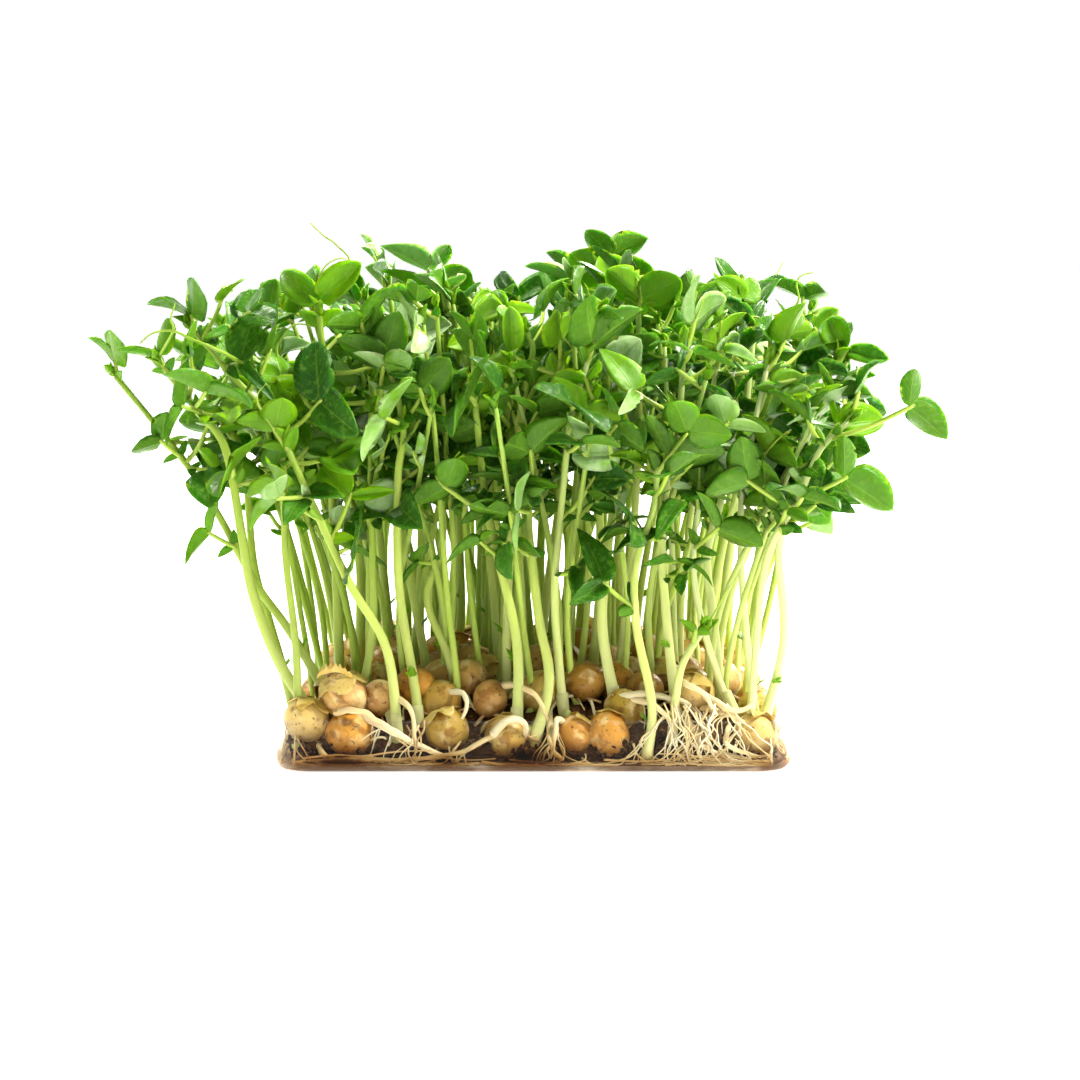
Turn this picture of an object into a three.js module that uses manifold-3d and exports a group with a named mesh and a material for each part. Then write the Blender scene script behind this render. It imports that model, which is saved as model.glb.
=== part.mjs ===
// Pea shoot microgreens: nearly sixty shoots on a bed of soil, roots and swollen seeds, in a
// shallow clear tray. Millimetres, +Z up. The origin is the centre of the tray's underside and
// the tray's front faces -Y.
import * as THREE from 'three';
import { mergeVertices } from 'three/addons/utils/BufferGeometryUtils.js';
import Module from 'manifold-3d';

const wasm = await Module();
wasm.setup();

// ---- Driving dimensions ----

const GAP = 0.35; // kept between pieces that rest on each other

const TRAY_SIDE = 96;
const TRAY_HEIGHT = 9.5;
const TRAY_WALL = 0.8;
const TRAY_CORNER = 7;
const TRAY_HEEL = 1.6; // bevel where the walls meet the base

const SOIL_HALF = 44.8; // half the soil's width: roots run down between it and the wall
const SOIL_RIM = 2.6; // height of the soil's top at its edge
const SOIL_CROWN = 7.5; // and in the middle
const SOIL_LUMPS = 0.5;
const BED_CELLS = 6;
const BED_CORNER = 0.07; // how much its corners are drawn in

const MAT_RIM = 3.9; // height at its edge of the felt of roots on the soil
const MAT_CROWN = 13; // and in the middle

const SEED = 4.3; // mean radius of a swollen seed
const ROOT = 0.7; // radius of a thick root at the sides and back

const STEM_BASE = 1.5; // radius of a shoot at its foot, over the corners of its section
const STEM_TIP = 0.8;
const STEM_SIDES = 3;
const STEM_SUNK = 3.5; // how deep a foot stands in the felt

const BLADE = 0.6; // thickness of leaflets, stipules and bracts
const LEAFLET = 11.5; // mean length of a leaflet
const LEAFLET_SHAPE = 0.64; // its width over its length
const PETIOLE = 0.5; // half the petiole's width
const LEAFLET_STALK = 0.5; // from the leaf's joint to where a leaflet starts
const STIPULE = 4.6; // how far a stipule reaches from the stem
const STIPULE_JOIN = 2.6; // how far up the petiole it is joined to it
const LEAF_CLEARANCE = 0.3; // least gap between the leaves of different shoots
const STEM_CLEARANCE = 0.6; // and between their stems
const LOWEST_LEAF = 20; // leaves keep above this height

const CROWN_HEIGHT = 94; // height of the tallest tips
const TRIES = 14; // places tried for each leaf and each shoot

// Keys of the streams of random numbers: one for each try, leaf, shoot and seed.
const SIDE_SEEDS_KEY = 41;
const SIDE_ROOTS_KEY = 43;
const FIRST_SEED_KEY = 500;
const FIRST_ROUTE_KEY = 1000;
const ROUTE_KEYS = 50;
const FIRST_LEAF_KEY = 10000;
const SHOOT_KEYS = 1000;
const LEAF_KEYS = 100;

const COLOURS = {
  tray: '#e9edea',
  soil: '#4a3426',
  mat: '#d8b47a',
  shoots: ['#7fa83c', '#6b9a35', '#93b552', '#5f8f34'],
};

// ---- Shoots that stand at the front and sides ----
// route: the stem's way up as [x, z]; y: its depth at the foot and at the tip.
// leaves: [height of the joint, x, y, z of the leaflets' meeting point, leaflet length,
// how far the leaf's face is rolled towards the front, angle between petiole and leaflet].

const OUTER_SHOOTS = [
  { y: [-34, -31], route: [[-36, 7], [-45, 23], [-52, 33], [-59, 46], [-66, 57], [-78, 72]],
    leaves: [[40, -60, -37, 43, 6.5, 60, 60], [57, -69, -35, 60, 6, 50, 50],
      [71, -78, -31, 74, 7.5, 20, 35]] },
  { y: [-37, -38], route: [[-39, 6], [-47, 18], [-52, 31], [-54, 42], [-57, 59], [-62, 66], [-68, 74]],
    leaves: [[66, -64, -42, 67, 8, 70, 60], [73, -69, -38, 76, 7.5, 60, 50]] },
  { y: [-34, -22], route: [[-43.6, 3.6], [-47, 16], [-50, 26], [-53, 37], [-55, 57], [-60, 64], [-64, 73]],
    leaves: [[60, -59, -26, 63, 7.5, 60, 50], [73, -65, -22, 75, 8, 60, 40]] },
  { y: [-41, -36], route: [[-44, 3.4], [-44, 21], [-46, 40], [-47, 61], [-57, 74], [-63, 81]],
    leaves: [[61, -39, -43, 68, 11, 60, 65], [74, -54, -38, 75, 9, 60, 60], [79, -63, -36, 83, 9, 30, 50]] },
  { y: [-42, -45], route: [[-25, 4], [-27, 22], [-34, 35], [-42, 53], [-45, 60]],
    leaves: [[36, -33, -47, 39, 6.5, 60, 50], [59, -47, -46, 63, 6.6, 50, 45]] },
  { y: [-36, -34], route: [[-33, 8], [-30, 25], [-30, 39], [-30, 48], [-29, 55]],
    leaves: [[55, -28, -35, 58, 8.3, 40, 60]] },
  { y: [-40, -35], route: [[-21, 5], [-22, 14], [-25, 34], [-25, 54], [-24, 62], [-26, 72]],
    leaves: [[64, -21, -38, 68, 8, 50, 60], [72, -27, -35, 75, 9.2, 70, 40]] },
  { y: [-33, -27], route: [[-14, 9], [-16, 19], [-20, 30], [-17, 41], [-18, 57], [-19, 64]],
    leaves: [[50, -14, -31, 54, 9, 60, 55], [64, -19, -27, 67, 9.2, 40, 45]] },
  { y: [-42, -36], route: [[-3, 5], [-3, 23], [-7, 41], [-9, 51], [-11, 70]],
    leaves: [[47, -16, -41, 52, 7, 50, 70], [41, -5, -42, 42, 7, 75, 75], [70, -11, -36, 74, 9.2, 60, 45]] },
  { y: [-29, -30], route: [[-5, 10], [-5, 24], [-4, 45], [-3, 60], [-1, 72], [0, 77], [-1, 80]],
    leaves: [[66, 2, -31, 70, 8, 50, 50]] },
  { y: [-43, -32], route: [[0, 4], [3, 16], [1, 28], [-1, 47], [0, 60], [5, 74]],
    leaves: [[47, -5, -43, 50, 8.1, 60, 75], [74, 5, -32, 78, 8.1, 60, 45]] },
  { y: [-37, -38], route: [[6, 7], [5, 17], [4, 31], [5, 45], [7, 64], [10, 75]],
    leaves: [[62, 9, -41, 66, 7.7, 60, 60], [75, 11, -38, 78, 11.4, 50, 40]] },
  { y: [-36, -30], route: [[16, 8], [13, 25], [14, 39], [15, 50], [14, 68]],
    leaves: [[55, 16, -35, 60, 8.8, 60, 60], [68, 14, -30, 72, 9.2, 60, 45]] },
  { y: [-45, -42], route: [[21, 1.8], [22, 12], [19, 27], [19, 38], [22, 48], [23, 56]],
    leaves: [[30, 13, -47, 35, 10.6, 70, 55], [43, 18, -46, 46, 7.7, 60, 70],
      [55, 25, -43, 58, 10.3, 60, 60]] },
  { y: [-37, -34], route: [[39, 7], [35, 15], [31, 29], [30, 39], [31, 48]],
    leaves: [[40, 34, -39, 44, 8.8, 60, 60], [48, 31, -35, 52, 8.4, 50, 50]] },
  { y: [-39, -34], route: [[27, 8], [25, 26], [24, 45], [27, 62], [28, 78]],
    leaves: [[52, 31, -41, 57, 9.5, 60, 55], [65, 20, -38, 70, 10, 60, 55], [78, 30, -33, 82, 10, 50, 45]] },
  { y: [-33, -29], route: [[42, 7], [40, 25], [39, 45], [41, 60], [44, 74]],
    leaves: [[52, 45, -36, 56, 9, 60, 55], [62, 36, -34, 67, 9.5, 60, 55], [74, 47, -28, 78, 10, 50, 45]] },
  { y: [-30, -26], route: [[36, 8], [34, 27], [33, 38], [36, 50], [38, 62]],
    leaves: [[46, 37, -30, 50, 8.4, 60, 50], [62, 38, -26, 66, 9, 50, 50]] },
  { y: [-41, -40], route: [[40, 5], [41, 16], [43, 38], [49, 50], [53, 59], [58, 64]],
    leaves: [[61, 69, -43, 67, 8.8, 60, 65], [50, 57, -44, 54, 10.2, 60, 60],
      [64, 60, -38, 69, 8.5, 40, 50]] },
  { y: [-35, -36], route: [[42.6, 4.2], [47, 22], [46, 38], [47, 45], [52, 53]],
    leaves: [[45, 51, -37, 48, 6.6, 60, 50], [53, 54, -36, 56, 8.1, 60, 50]] },
  { y: [-43, -43], route: [[25.6, 4], [27, 17], [29, 22], [31, 25]],
    leaves: [[23, 30, -44, 25.5, 3, 60, 60], [25, 32, -43, 26.5, 3, 40, 50]] },
];

// Feet of the inner shoots, a jittered grid of rows from front to back.
const INNER_ROWS = [-24, -15, -6, 3, 12, 21, 30, 39];
const INNER_COLUMNS = [[-36, -18, 0, 18, 36], [-27, -9, 9, 27]]; // of odd and even rows
const INNER_COUNT = 36;
const INNER_JITTER = 3;
const INNER_LEAVES = [0.74, 1]; // their joints' shares of the stem's height

// Seeds at the front, as [x, y, z, radius].
const FRONT_SEEDS = [
  [-34, -42, 5.4, 4.6], [-35, -41, 13, 4.4], [-28.5, -39, 12.4, 3.6], [-42, -41, 8.6, 4.4],
  [-16, -42, 6.8, 4.3], [-17.5, -36, 11, 4.2], [-8, -38, 12, 3.6], [-5, -42.2, 5.4, 4.1],
  [8, -41.6, 5.6, 3.9], [14, -42, 5.2, 4.4], [17, -38, 10, 3.9], [30, -38, 13, 3.9],
  [41.5, -41.5, 6, 4.1],
];
// Seeds behind those, which show between the stems.
const SECOND_SEEDS = [
  [-37, -33, 13.2, 4.1], [-22, -35, 14, 3.9], [-12, -32, 15, 3.7], [10, -33, 14.5, 3.9],
  [21, -33, 13, 3.8], [36, -22, 13, 4], [42.6, -29, 8.6, 4],
];

// Thick roots that show at the front, as routes of [x, y, z] with a radius.
const FRONT_ROOTS = [
  { radius: 1.1, route: [[-33, -41, 10], [-27, -45.4, 8], [-23, -45.8, 5.6], [-16, -45.9, 2.6]] },
  { radius: 0.7, route: [[-4, -42, 7], [-9, -46, 5.8], [-14, -46.2, 3.4], [-22, -46.2, 2]] },
  { radius: 0.7, route: [[-41, -40, 6], [-38, -46, 2.6], [-30, -46.2, 2.3], [-24, -46.2, 2]] },
  { radius: 0.8, route: [[3, -37, 9.6], [3.2, -45.4, 6], [3.6, -45.8, 3.6], [5.6, -46, 2.1]] },
  { radius: 0.9, route: [[15, -39, 12.4], [21, -41.4, 13.4], [27, -41.6, 12.6], [31, -40, 10.5]] },
  { radius: 0.7, route: [[29, -37, 9.4], [28.8, -45.4, 6.6], [28.4, -46.2, 4], [26.4, -46.2, 2.1]] },
  { radius: 0.8, route: [[29, -40, 8], [31, -45.4, 5], [35, -46, 3.2], [40, -46, 2.1]] },
  { radius: 0.8, route: [[31, -40, 11], [35, -44, 10.4], [38, -44.4, 9.4], [40, -41, 7]] },
  { radius: 0.7, route: [[37, -38, 7.6], [35.6, -45.8, 5.4], [38, -46.2, 3.8], [42, -46.2, 2.6]] },
];

// ---- Repeatable random numbers ----

// A stream of numbers from 0 to 1, the same for the same key (Park and Miller's generator).
function stream(key) {
  let state = (key * 7919 + 104729) % 2147483647;
  const next = () => {
    state = (state * 16807) % 2147483647;
    return state / 2147483647;
  };
  next();
  next();
  return next;
}

const between = (draw, low, high) => low + (high - low) * draw();

// ---- Solids ----

// A closed geometry as a solid.
function solid(geometry) {
  geometry.deleteAttribute('normal');
  geometry.deleteAttribute('uv');
  const merged = mergeVertices(geometry);
  return new wasm.Manifold(new wasm.Mesh({
    numProp: 3,
    vertProperties: new Float32Array(merged.attributes.position.array),
    triVerts: new Uint32Array(merged.index.array),
  }));
}

// A geometry from points and triangles of their numbers.
function facets(points, triangles) {
  const geometry = new THREE.BufferGeometry();
  geometry.setAttribute('position', new THREE.Float32BufferAttribute(points.flatMap((p) => p.toArray()), 3));
  geometry.setIndex(triangles.flat());
  return geometry;
}

// A named mesh of a solid's largest body: a scrap that a cut leaves loose is dropped.
function mesh(name, body, colour, roughness) {
  const [largest] = body.decompose().sort((a, b) => b.volume() - a.volume());
  const { vertProperties, triVerts } = largest.getMesh();
  const geometry = new THREE.BufferGeometry();
  geometry.setAttribute('position', new THREE.BufferAttribute(new Float32Array(vertProperties), 3));
  geometry.setIndex(new THREE.BufferAttribute(new Uint32Array(triVerts), 1));
  geometry.computeVertexNormals();
  const material = new THREE.MeshStandardMaterial({ color: colour, roughness, metalness: 0 });
  const made = new THREE.Mesh(geometry, material);
  made.name = name;
  return made;
}

// A tapered tube along a smooth curve through the route's points, with a ring at each of them.
function tube(route, startRadius, endRadius, sides) {
  const curve = new THREE.CatmullRomCurve3(route);
  const spans = route.length - 1;
  const rings = route.flatMap((centre, i) => {
    const along = curve.getTangent(i / spans);
    const across = new THREE.Vector3(0, 1, 0).cross(along).normalize();
    const up = new THREE.Vector3().crossVectors(along, across);
    const radius = THREE.MathUtils.lerp(startRadius, endRadius, i / spans);
    return Array.from({ length: sides }, (_, k) => centre.clone()
      .addScaledVector(across, radius * Math.cos((2 * Math.PI * k) / sides))
      .addScaledVector(up, radius * Math.sin((2 * Math.PI * k) / sides)));
  });
  const triangles = [];
  for (let i = 0; i < spans; i++) {
    for (let k = 0; k < sides; k++) {
      const [a, b] = [i * sides + k, i * sides + ((k + 1) % sides)];
      triangles.push([a, b, b + sides], [a, b + sides, a + sides]);
    }
  }
  for (let k = 1; k < sides - 1; k++) {
    triangles.push([0, k + 1, k], [spans * sides, spans * sides + k, spans * sides + k + 1]);
  }
  return solid(facets(rings, triangles));
}

// The body between two faces split into the same triangles, with a rim round it.
function betweenFaces(upper, lower, triangles) {
  const edges = new Map();
  for (const [a, b, c] of triangles) {
    [[a, b], [b, c], [c, a]].forEach(([from, to]) => {
      if (!edges.delete(`${to},${from}`)) edges.set(`${from},${to}`, [from, to]);
    });
  }
  const count = upper.length;
  const faces = triangles.flatMap(([a, b, c]) => [[a, b, c], [a + count, c + count, b + count]]);
  for (const [from, to] of edges.values()) {
    faces.push([from, from + count, to + count], [from, to + count, to]);
  }
  return solid(facets([...upper, ...lower], faces));
}

// A thin body from a sheet of triangles, half its thickness to either side of the sheet.
function thickSheet(points, triangles, thickness) {
  const normals = points.map(() => new THREE.Vector3());
  for (const [a, b, c] of triangles) {
    const normal = new THREE.Vector3().crossVectors(
      points[b].clone().sub(points[a]), points[c].clone().sub(points[a])).normalize();
    [a, b, c].forEach((i) => normals[i].add(normal));
  }
  const shifted = (side) => points.map((p, i) => p.clone()
    .addScaledVector(normals[i].clone().normalize(), (side * thickness) / 2));
  return betweenFaces(shifted(1), shifted(-1), triangles);
}

// Whether two solids share any room.
function overlaps(a, b) {
  const [boxA, boxB] = [a.boundingBox(), b.boundingBox()];
  const near = [0, 1, 2].every((k) => boxA.min[k] < boxB.max[k] && boxB.min[k] < boxA.max[k]);
  return near && a.intersect(b).volume() > 1e-6;
}

// ---- Tray ----

function roundedBlock(side, corner, heel, height) {
  const half = side / 2 - heel;
  const radius = corner - heel;
  const outline = new THREE.Shape();
  outline.absarc(half - radius, half - radius, radius, 0, Math.PI / 2);
  outline.absarc(radius - half, half - radius, radius, Math.PI / 2, Math.PI);
  outline.absarc(radius - half, radius - half, radius, Math.PI, 1.5 * Math.PI);
  outline.absarc(half - radius, radius - half, radius, 1.5 * Math.PI, 2 * Math.PI);
  const geometry = new THREE.ExtrudeGeometry(outline, {
    depth: height, curveSegments: 3, bevelSegments: 1, bevelSize: heel, bevelThickness: heel,
  });
  geometry.translate(0, 0, heel);
  return solid(geometry);
}

function tray() {
  const inside = TRAY_SIDE - 2 * TRAY_WALL;
  const above = new THREE.BoxGeometry(2 * TRAY_SIDE, 2 * TRAY_SIDE, TRAY_HEIGHT);
  above.translate(0, 0, 1.5 * TRAY_HEIGHT);
  return roundedBlock(TRAY_SIDE, TRAY_CORNER, TRAY_HEEL, TRAY_HEIGHT)
    .subtract(roundedBlock(inside, TRAY_CORNER - TRAY_WALL, TRAY_HEEL, 2 * TRAY_HEIGHT)
      .translate([0, 0, TRAY_WALL]))
    .subtract(solid(above));
}

// ---- Soil and the felt of roots on it ----

// How far a place is from the middle, from 0 there to 1 at the wall.
const outwards = (x, y) => Math.min(1, Math.max(Math.abs(x), Math.abs(y)) / SOIL_HALF);

function soilTop(x, y) {
  const lumps = SOIL_LUMPS * Math.sin(0.33 * x + 1.3) * Math.cos(0.29 * y + 0.4);
  return SOIL_RIM + (SOIL_CROWN - SOIL_RIM) * (1 - outwards(x, y) ** 3) + lumps * (1 - outwards(x, y) ** 8);
}

function matTop(x, y) {
  return MAT_RIM + (MAT_CROWN - MAT_RIM) * (1 - outwards(x, y) ** 6)
    + SOIL_LUMPS * Math.sin(0.41 * x) * Math.sin(0.37 * y + 1);
}

// A slab between two height formulas, with soft corners and a foot narrower than its top.
function bed(bottom, top, foot) {
  const [upper, lower, triangles] = [[], [], []];
  const across = BED_CELLS + 1;
  for (let row = 0; row < across; row++) {
    for (let column = 0; column < across; column++) {
      const [u, v] = [column, row].map((step) => {
        const share = (2 * step) / BED_CELLS - 1;
        return Math.sign(share) * Math.abs(share) ** 0.6; // the cells get narrower towards the edge
      });
      const x = SOIL_HALF * u * Math.sqrt(1 - BED_CORNER * v * v);
      const y = SOIL_HALF * v * Math.sqrt(1 - BED_CORNER * u * u);
      upper.push(new THREE.Vector3(x, y, top(x, y)));
      lower.push(new THREE.Vector3(x * foot, y * foot, bottom(x, y)));
      const here = row * across + column;
      if (row === BED_CELLS || column === BED_CELLS) continue;
      triangles.push([here, here + 1, here + across + 1], [here, here + across + 1, here + across]);
    }
  }
  return betweenFaces(upper, lower, triangles);
}

const soilSlab = () => bed(() => TRAY_WALL + GAP, soilTop, 0.97);
const feltSlab = () => bed((x, y) => soilTop(x, y) + GAP, matTop, 1);

// ---- Seeds and thick roots ----

// A swollen seed, turned at random. One that shows little has fewer faces.
function seed({ place: [x, y, z, radius], shows }, key, grown) {
  const draw = stream(key);
  const turn = new THREE.Euler(between(draw, 0, 3), between(draw, 0, 3), between(draw, 0, 3));
  const size = [between(draw, 1, 1.08), between(draw, 0.94, 1), between(draw, 0.88, 0.96)];
  const geometry = shows ? new THREE.SphereGeometry(1, 6, 4) : new THREE.IcosahedronGeometry(1.06, 0);
  geometry.scale(...size.map((s) => s * radius + grown));
  geometry.rotateX(turn.x).rotateY(turn.y).rotateZ(turn.z);
  geometry.translate(x, y, Math.max(z, TRAY_WALL + GAP + radius + 0.3));
  return solid(geometry);
}

// Seeds round the other three sides and under the shoots.
function ruledSeeds() {
  const draw = stream(SIDE_SEEDS_KEY);
  const seeds = [];
  const wall = TRAY_SIDE / 2 - TRAY_WALL - 0.8;
  const seedRest = SOIL_RIM + GAP + SEED + 0.4;
  for (let i = 0; i < 3; i++) {
    const along = -18 + 24 * i + between(draw, -4, 4);
    for (const side of [-1, 1]) {
      const radius = SEED * between(draw, 0.9, 1.06);
      seeds.push([side * (wall - radius), along, seedRest, radius]);
    }
  }
  for (let i = 0; i < 3; i++) {
    const radius = SEED * between(draw, 0.9, 1.06);
    seeds.push([-26 + 26 * i + between(draw, -4, 4), wall - radius, seedRest, radius]);
  }
  for (const y of [-16, 6, 26]) {
    for (const column of [-30, 0, 30]) {
      const [x, back] = [column + between(draw, -3, 3), y + between(draw, -3, 3)];
      const radius = SEED * between(draw, 0.88, 1.04);
      seeds.push([x, back, matTop(x, back) + between(draw, 0.4, 2), radius]);
    }
  }
  return seeds;
}

// Thick roots that come out of the felt and run down the tray's other three walls.
function ruledRoots() {
  const draw = stream(SIDE_ROOTS_KEY);
  const roots = [];
  for (let i = 0; i < 6; i++) {
    const reach = SOIL_HALF + 1.2;
    const along = -18 + 36 * (i % 2) + between(draw, -6, 6);
    const slip = between(draw, -8, 8);
    const turn = (Math.PI / 2) * (Math.floor(i / 2) - 1); // right, back and left wall
    const upright = new THREE.Vector3(0, 0, 1);
    const route = [[along, 40, 7], [along + slip / 2, reach, 5], [along + slip, reach, 3]]
      .map((point) => new THREE.Vector3(...point).applyAxisAngle(upright, turn).toArray());
    roots.push({ radius: ROOT, route });
  }
  return roots;
}

function root({ radius, route }, grown) {
  const points = route.map((p) => new THREE.Vector3(...p));
  return tube(points, radius + grown, 0.7 * radius + grown, 3);
}

// ---- Shoots ----

// The routes of the outer shoots' stems.
const outerRoute = ({ y, route }) => route.map(([x, z], i) => new THREE.Vector3(
  x, THREE.MathUtils.lerp(y[0], y[1], i / (route.length - 1)), z));

// The height that tips reach at a place.
const crownTop = (x) => CROWN_HEIGHT - 0.3 * Math.max(0, x - 28) - 0.12 * Math.max(0, -x - 30);

// One try at the route of an inner shoot's stem, leaning outwards from its foot.
function innerRoute(number, attempt) {
  const draw = stream(FIRST_ROUTE_KEY + ROUTE_KEYS * number + attempt);
  const [odd, even] = INNER_COLUMNS;
  const pair = Math.floor(number / (odd.length + even.length));
  const place = number % (odd.length + even.length);
  const second = place >= odd.length ? 1 : 0;
  const jitter = INNER_JITTER + 0.3 * attempt;
  const x = INNER_COLUMNS[second][place - second * odd.length] + between(draw, -jitter, jitter);
  const y = INNER_ROWS[2 * pair + second] + between(draw, -jitter, jitter);
  const tipX = 1.28 * x + between(draw, -9, 9);
  const tipY = 1.2 * y + between(draw, -8, 8);
  const height = crownTop(tipX) - between(draw, 6, 20);
  const sway = [between(draw, -3, 3), between(draw, -3, 3)];
  const foot = matTop(x, y) - STEM_SUNK;
  const at = (share, lean, bend) => new THREE.Vector3(
    x + (tipX - x) * lean + sway[0] * bend, y + (tipY - y) * lean + sway[1] * bend,
    foot + (height - foot) * share);
  return [at(0, 0, 0), at(0.3, 0.12, 0.8), at(0.66, 0.5, 0.8), at(1, 1, 0)];
}

const stem = (route, grown) => tube(route, STEM_BASE + grown, STEM_TIP + grown, STEM_SIDES);

// The point of a stem at a height, at most just short of its tip.
function onStem(route, height) {
  const span = Math.max(0, route.findIndex((point, i) => i === route.length - 2 || route[i + 1].z > height));
  const [low, high] = [route[span], route[span + 1]];
  const share = THREE.MathUtils.clamp((height - low.z) / (high.z - low.z), 0, 0.92);
  return low.clone().lerp(high, share);
}

// A leaf's own directions: along its petiole, to its side, and out of its upper face.
function leafFrame(along, roll) {
  const side = new THREE.Vector3(0, 0, 1).cross(along);
  if (side.lengthSq() < 1e-4) side.set(1, 0, 0);
  side.normalize().applyAxisAngle(along, roll);
  return { along, side, face: new THREE.Vector3().crossVectors(along, side) };
}

// Outline of one half of a leaflet: places along it and shares of its half width.
const OUTLINE = [[0.34, 1], [0.74, 0.8]];

// The points round a leaflet's edge, from one side of its base to the other.
function leafletPoints(leaf, hand, grown) {
  const { along, side, face } = leaf.frame;
  const leant = side.clone().multiplyScalar(Math.cos(leaf.lift))
    .addScaledVector(face, Math.sin(leaf.lift));
  const forward = along.clone().multiplyScalar(Math.cos(leaf.spread))
    .addScaledVector(leant, hand * Math.sin(leaf.spread));
  const up = face.clone().multiplyScalar(Math.cos(leaf.lift))
    .addScaledVector(side, -hand * Math.sin(leaf.lift));
  const across = new THREE.Vector3().crossVectors(up, forward);
  const length = leaf.length + grown;
  const halfWidth = (leaf.length * leaf.shape) / 2 + grown;
  const at = (u, v) => leaf.joint.clone()
    .addScaledVector(forward, LEAFLET_STALK + length * u)
    .addScaledVector(across, v * halfWidth * Math.cos(leaf.fold))
    .addScaledVector(up, Math.abs(v) * halfWidth * Math.sin(leaf.fold) - leaf.droop * length * u * u);
  const edge = (v) => OUTLINE.map(([u, share]) => at(u, v * share));
  return [...edge(-1), at(1, 0), ...edge(1).reverse()];
}

// A leaf: a flat petiole, with or without stipules at its base, and a pair of folded leaflets,
// as one thin body.
function leafBody(leaf, grown) {
  const { along, side } = leaf.frame;
  const at = (base, forward, across) => base.clone()
    .addScaledVector(along, forward).addScaledVector(side, across);
  const points = [at(leaf.joint, 0, -PETIOLE), at(leaf.joint, 0, PETIOLE), at(leaf.joint, 0.6, 0)];
  const triangles = [[0, 2, 1]];
  for (const [hand, right, left] of [[-1, 0, 2], [1, 2, 1]]) {
    const edge = points.length;
    const tip = edge + 2;
    points.push(...leafletPoints(leaf, hand, grown));
    triangles.push([right, edge, edge + 1], [right, edge + 1, tip], [right, tip, left]);
    triangles.push([left, tip, edge + 3], [left, edge + 3, edge + 4]);
  }
  const foot = points.length;
  points.push(at(leaf.from, 0, -PETIOLE), at(leaf.from, 0, PETIOLE));
  if (!leaf.stipules) {
    triangles.push([foot, 0, 1], [foot, 1, foot + 1]);
    return thickSheet(points, triangles, BLADE + 2 * grown);
  }
  const wide = leaf.stipules + grown;
  points.push(at(leaf.from, STIPULE_JOIN, -PETIOLE), at(leaf.from, STIPULE_JOIN, PETIOLE));
  triangles.push([foot, foot + 2, foot + 3], [foot, foot + 3, foot + 1]);
  triangles.push([foot + 2, 0, 1], [foot + 2, 1, foot + 3]);
  points.push(at(leaf.from, 0.2, -wide * 0.6), at(leaf.from, 0.7 * wide, -wide));
  triangles.push([foot, foot + 4, foot + 5], [foot, foot + 5, foot + 2]);
  points.push(at(leaf.from, 0.2, wide * 0.6), at(leaf.from, 0.7 * wide, wide));
  triangles.push([foot + 1, foot + 7, foot + 6], [foot + 1, foot + 3, foot + 7]);
  return thickSheet(points, triangles, BLADE + 2 * grown);
}

// The leaflets alone, to see whether they cross their own stem.
function leafletBodies(leaf) {
  return [-1, 1].map((hand) => {
    const points = [leaf.joint.clone(), ...leafletPoints(leaf, hand, LEAF_CLEARANCE)];
    return thickSheet(points, [[0, 1, 2], [0, 2, 3], [0, 3, 4], [0, 4, 5]], BLADE);
  });
}

// A leaf from its joint on the stem to where its leaflets meet.
function leafTo(from, joint, length, roll, spread, stipules, draw) {
  const along = joint.clone().sub(from).normalize();
  return {
    from, joint, length, spread, stipules, frame: leafFrame(along, roll),
    shape: LEAFLET_SHAPE * between(draw, 0.9, 1.1),
    lift: between(draw, -0.15, 0.45), fold: between(draw, 0.15, 0.5), droop: between(draw, -0.05, 0.22),
  };
}

// One try at a leaf of an outer shoot. Later tries move it a little.
function outerLeaf(route, [height, x, y, z, length, roll, spread], rank, key, attempt) {
  const draw = stream(key + attempt);
  const shift = 1.1 * attempt;
  const joint = new THREE.Vector3(x, y, z).add(new THREE.Vector3(
    between(draw, -0.6, 0.6), between(draw, -1, 1), between(draw, -0.5, 0.7)).multiplyScalar(shift));
  const hand = x < 0 ? -1 : 1;
  return leafTo(onStem(route, height), joint, length * (1 - 0.02 * attempt),
    -hand * THREE.MathUtils.degToRad(roll + shift * between(draw, -4, 4)),
    THREE.MathUtils.degToRad(spread), rank === 0 ? STIPULE : 0, draw);
}

// One try at a leaf of an inner shoot: on alternate sides up the stem, the last at its tip.
function innerLeaf(route, rank, shootKey, attempt) {
  const draw = stream(shootKey + LEAF_KEYS * rank + attempt);
  const [foot, tip] = [route[0], route[route.length - 1]];
  const from = onStem(route, THREE.MathUtils.lerp(foot.z, tip.z, INNER_LEAVES[rank]));
  const last = rank === INNER_LEAVES.length - 1;
  const turn = Math.PI * rank + 2 * Math.PI * stream(shootKey)()
    + between(draw, -0.7, 0.7) * (1 + 0.15 * attempt);
  const rise = between(draw, 0.3, 1);
  const level = new THREE.Vector3(Math.cos(turn), Math.sin(turn), 0);
  const out = level.clone().multiplyScalar(Math.cos(rise)).setZ(Math.sin(rise));
  if (last) {
    out.copy(tip).sub(route[route.length - 2]).normalize().multiplyScalar(2)
      .add(level).add(new THREE.Vector3(0, 0, 1.2)).normalize();
  }
  const reach = last ? between(draw, 2.5, 5) : between(draw, 5, 10);
  const length = LEAFLET * between(draw, 0.85, 1.2) * (last ? 0.85 : 1) * (1 - 0.02 * attempt);
  return leafTo(from, from.clone().addScaledVector(out, reach), length,
    between(draw, -1.2, 1.2), between(draw, 0.8, 1.15), 0, draw);
}

// Every shoot's route, its stem and the leaves planned for it. An inner shoot takes the first
// route that is clear of the stems before it.
function growStems() {
  const shoots = OUTER_SHOOTS.map((outer) => {
    const route = outerRoute(outer);
    return { route, plan: outer.leaves, stem: stem(route, 0) };
  });
  for (let number = 0; number < INNER_COUNT; number++) {
    for (let attempt = 0; attempt < TRIES; attempt++) {
      const route = innerRoute(number, attempt);
      const test = stem(route, STEM_CLEARANCE);
      if (shoots.some((shoot) => overlaps(test, shoot.stem))) continue;
      shoots.push({ route, stem: stem(route, 0) });
      break;
    }
  }
  return shoots;
}

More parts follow.
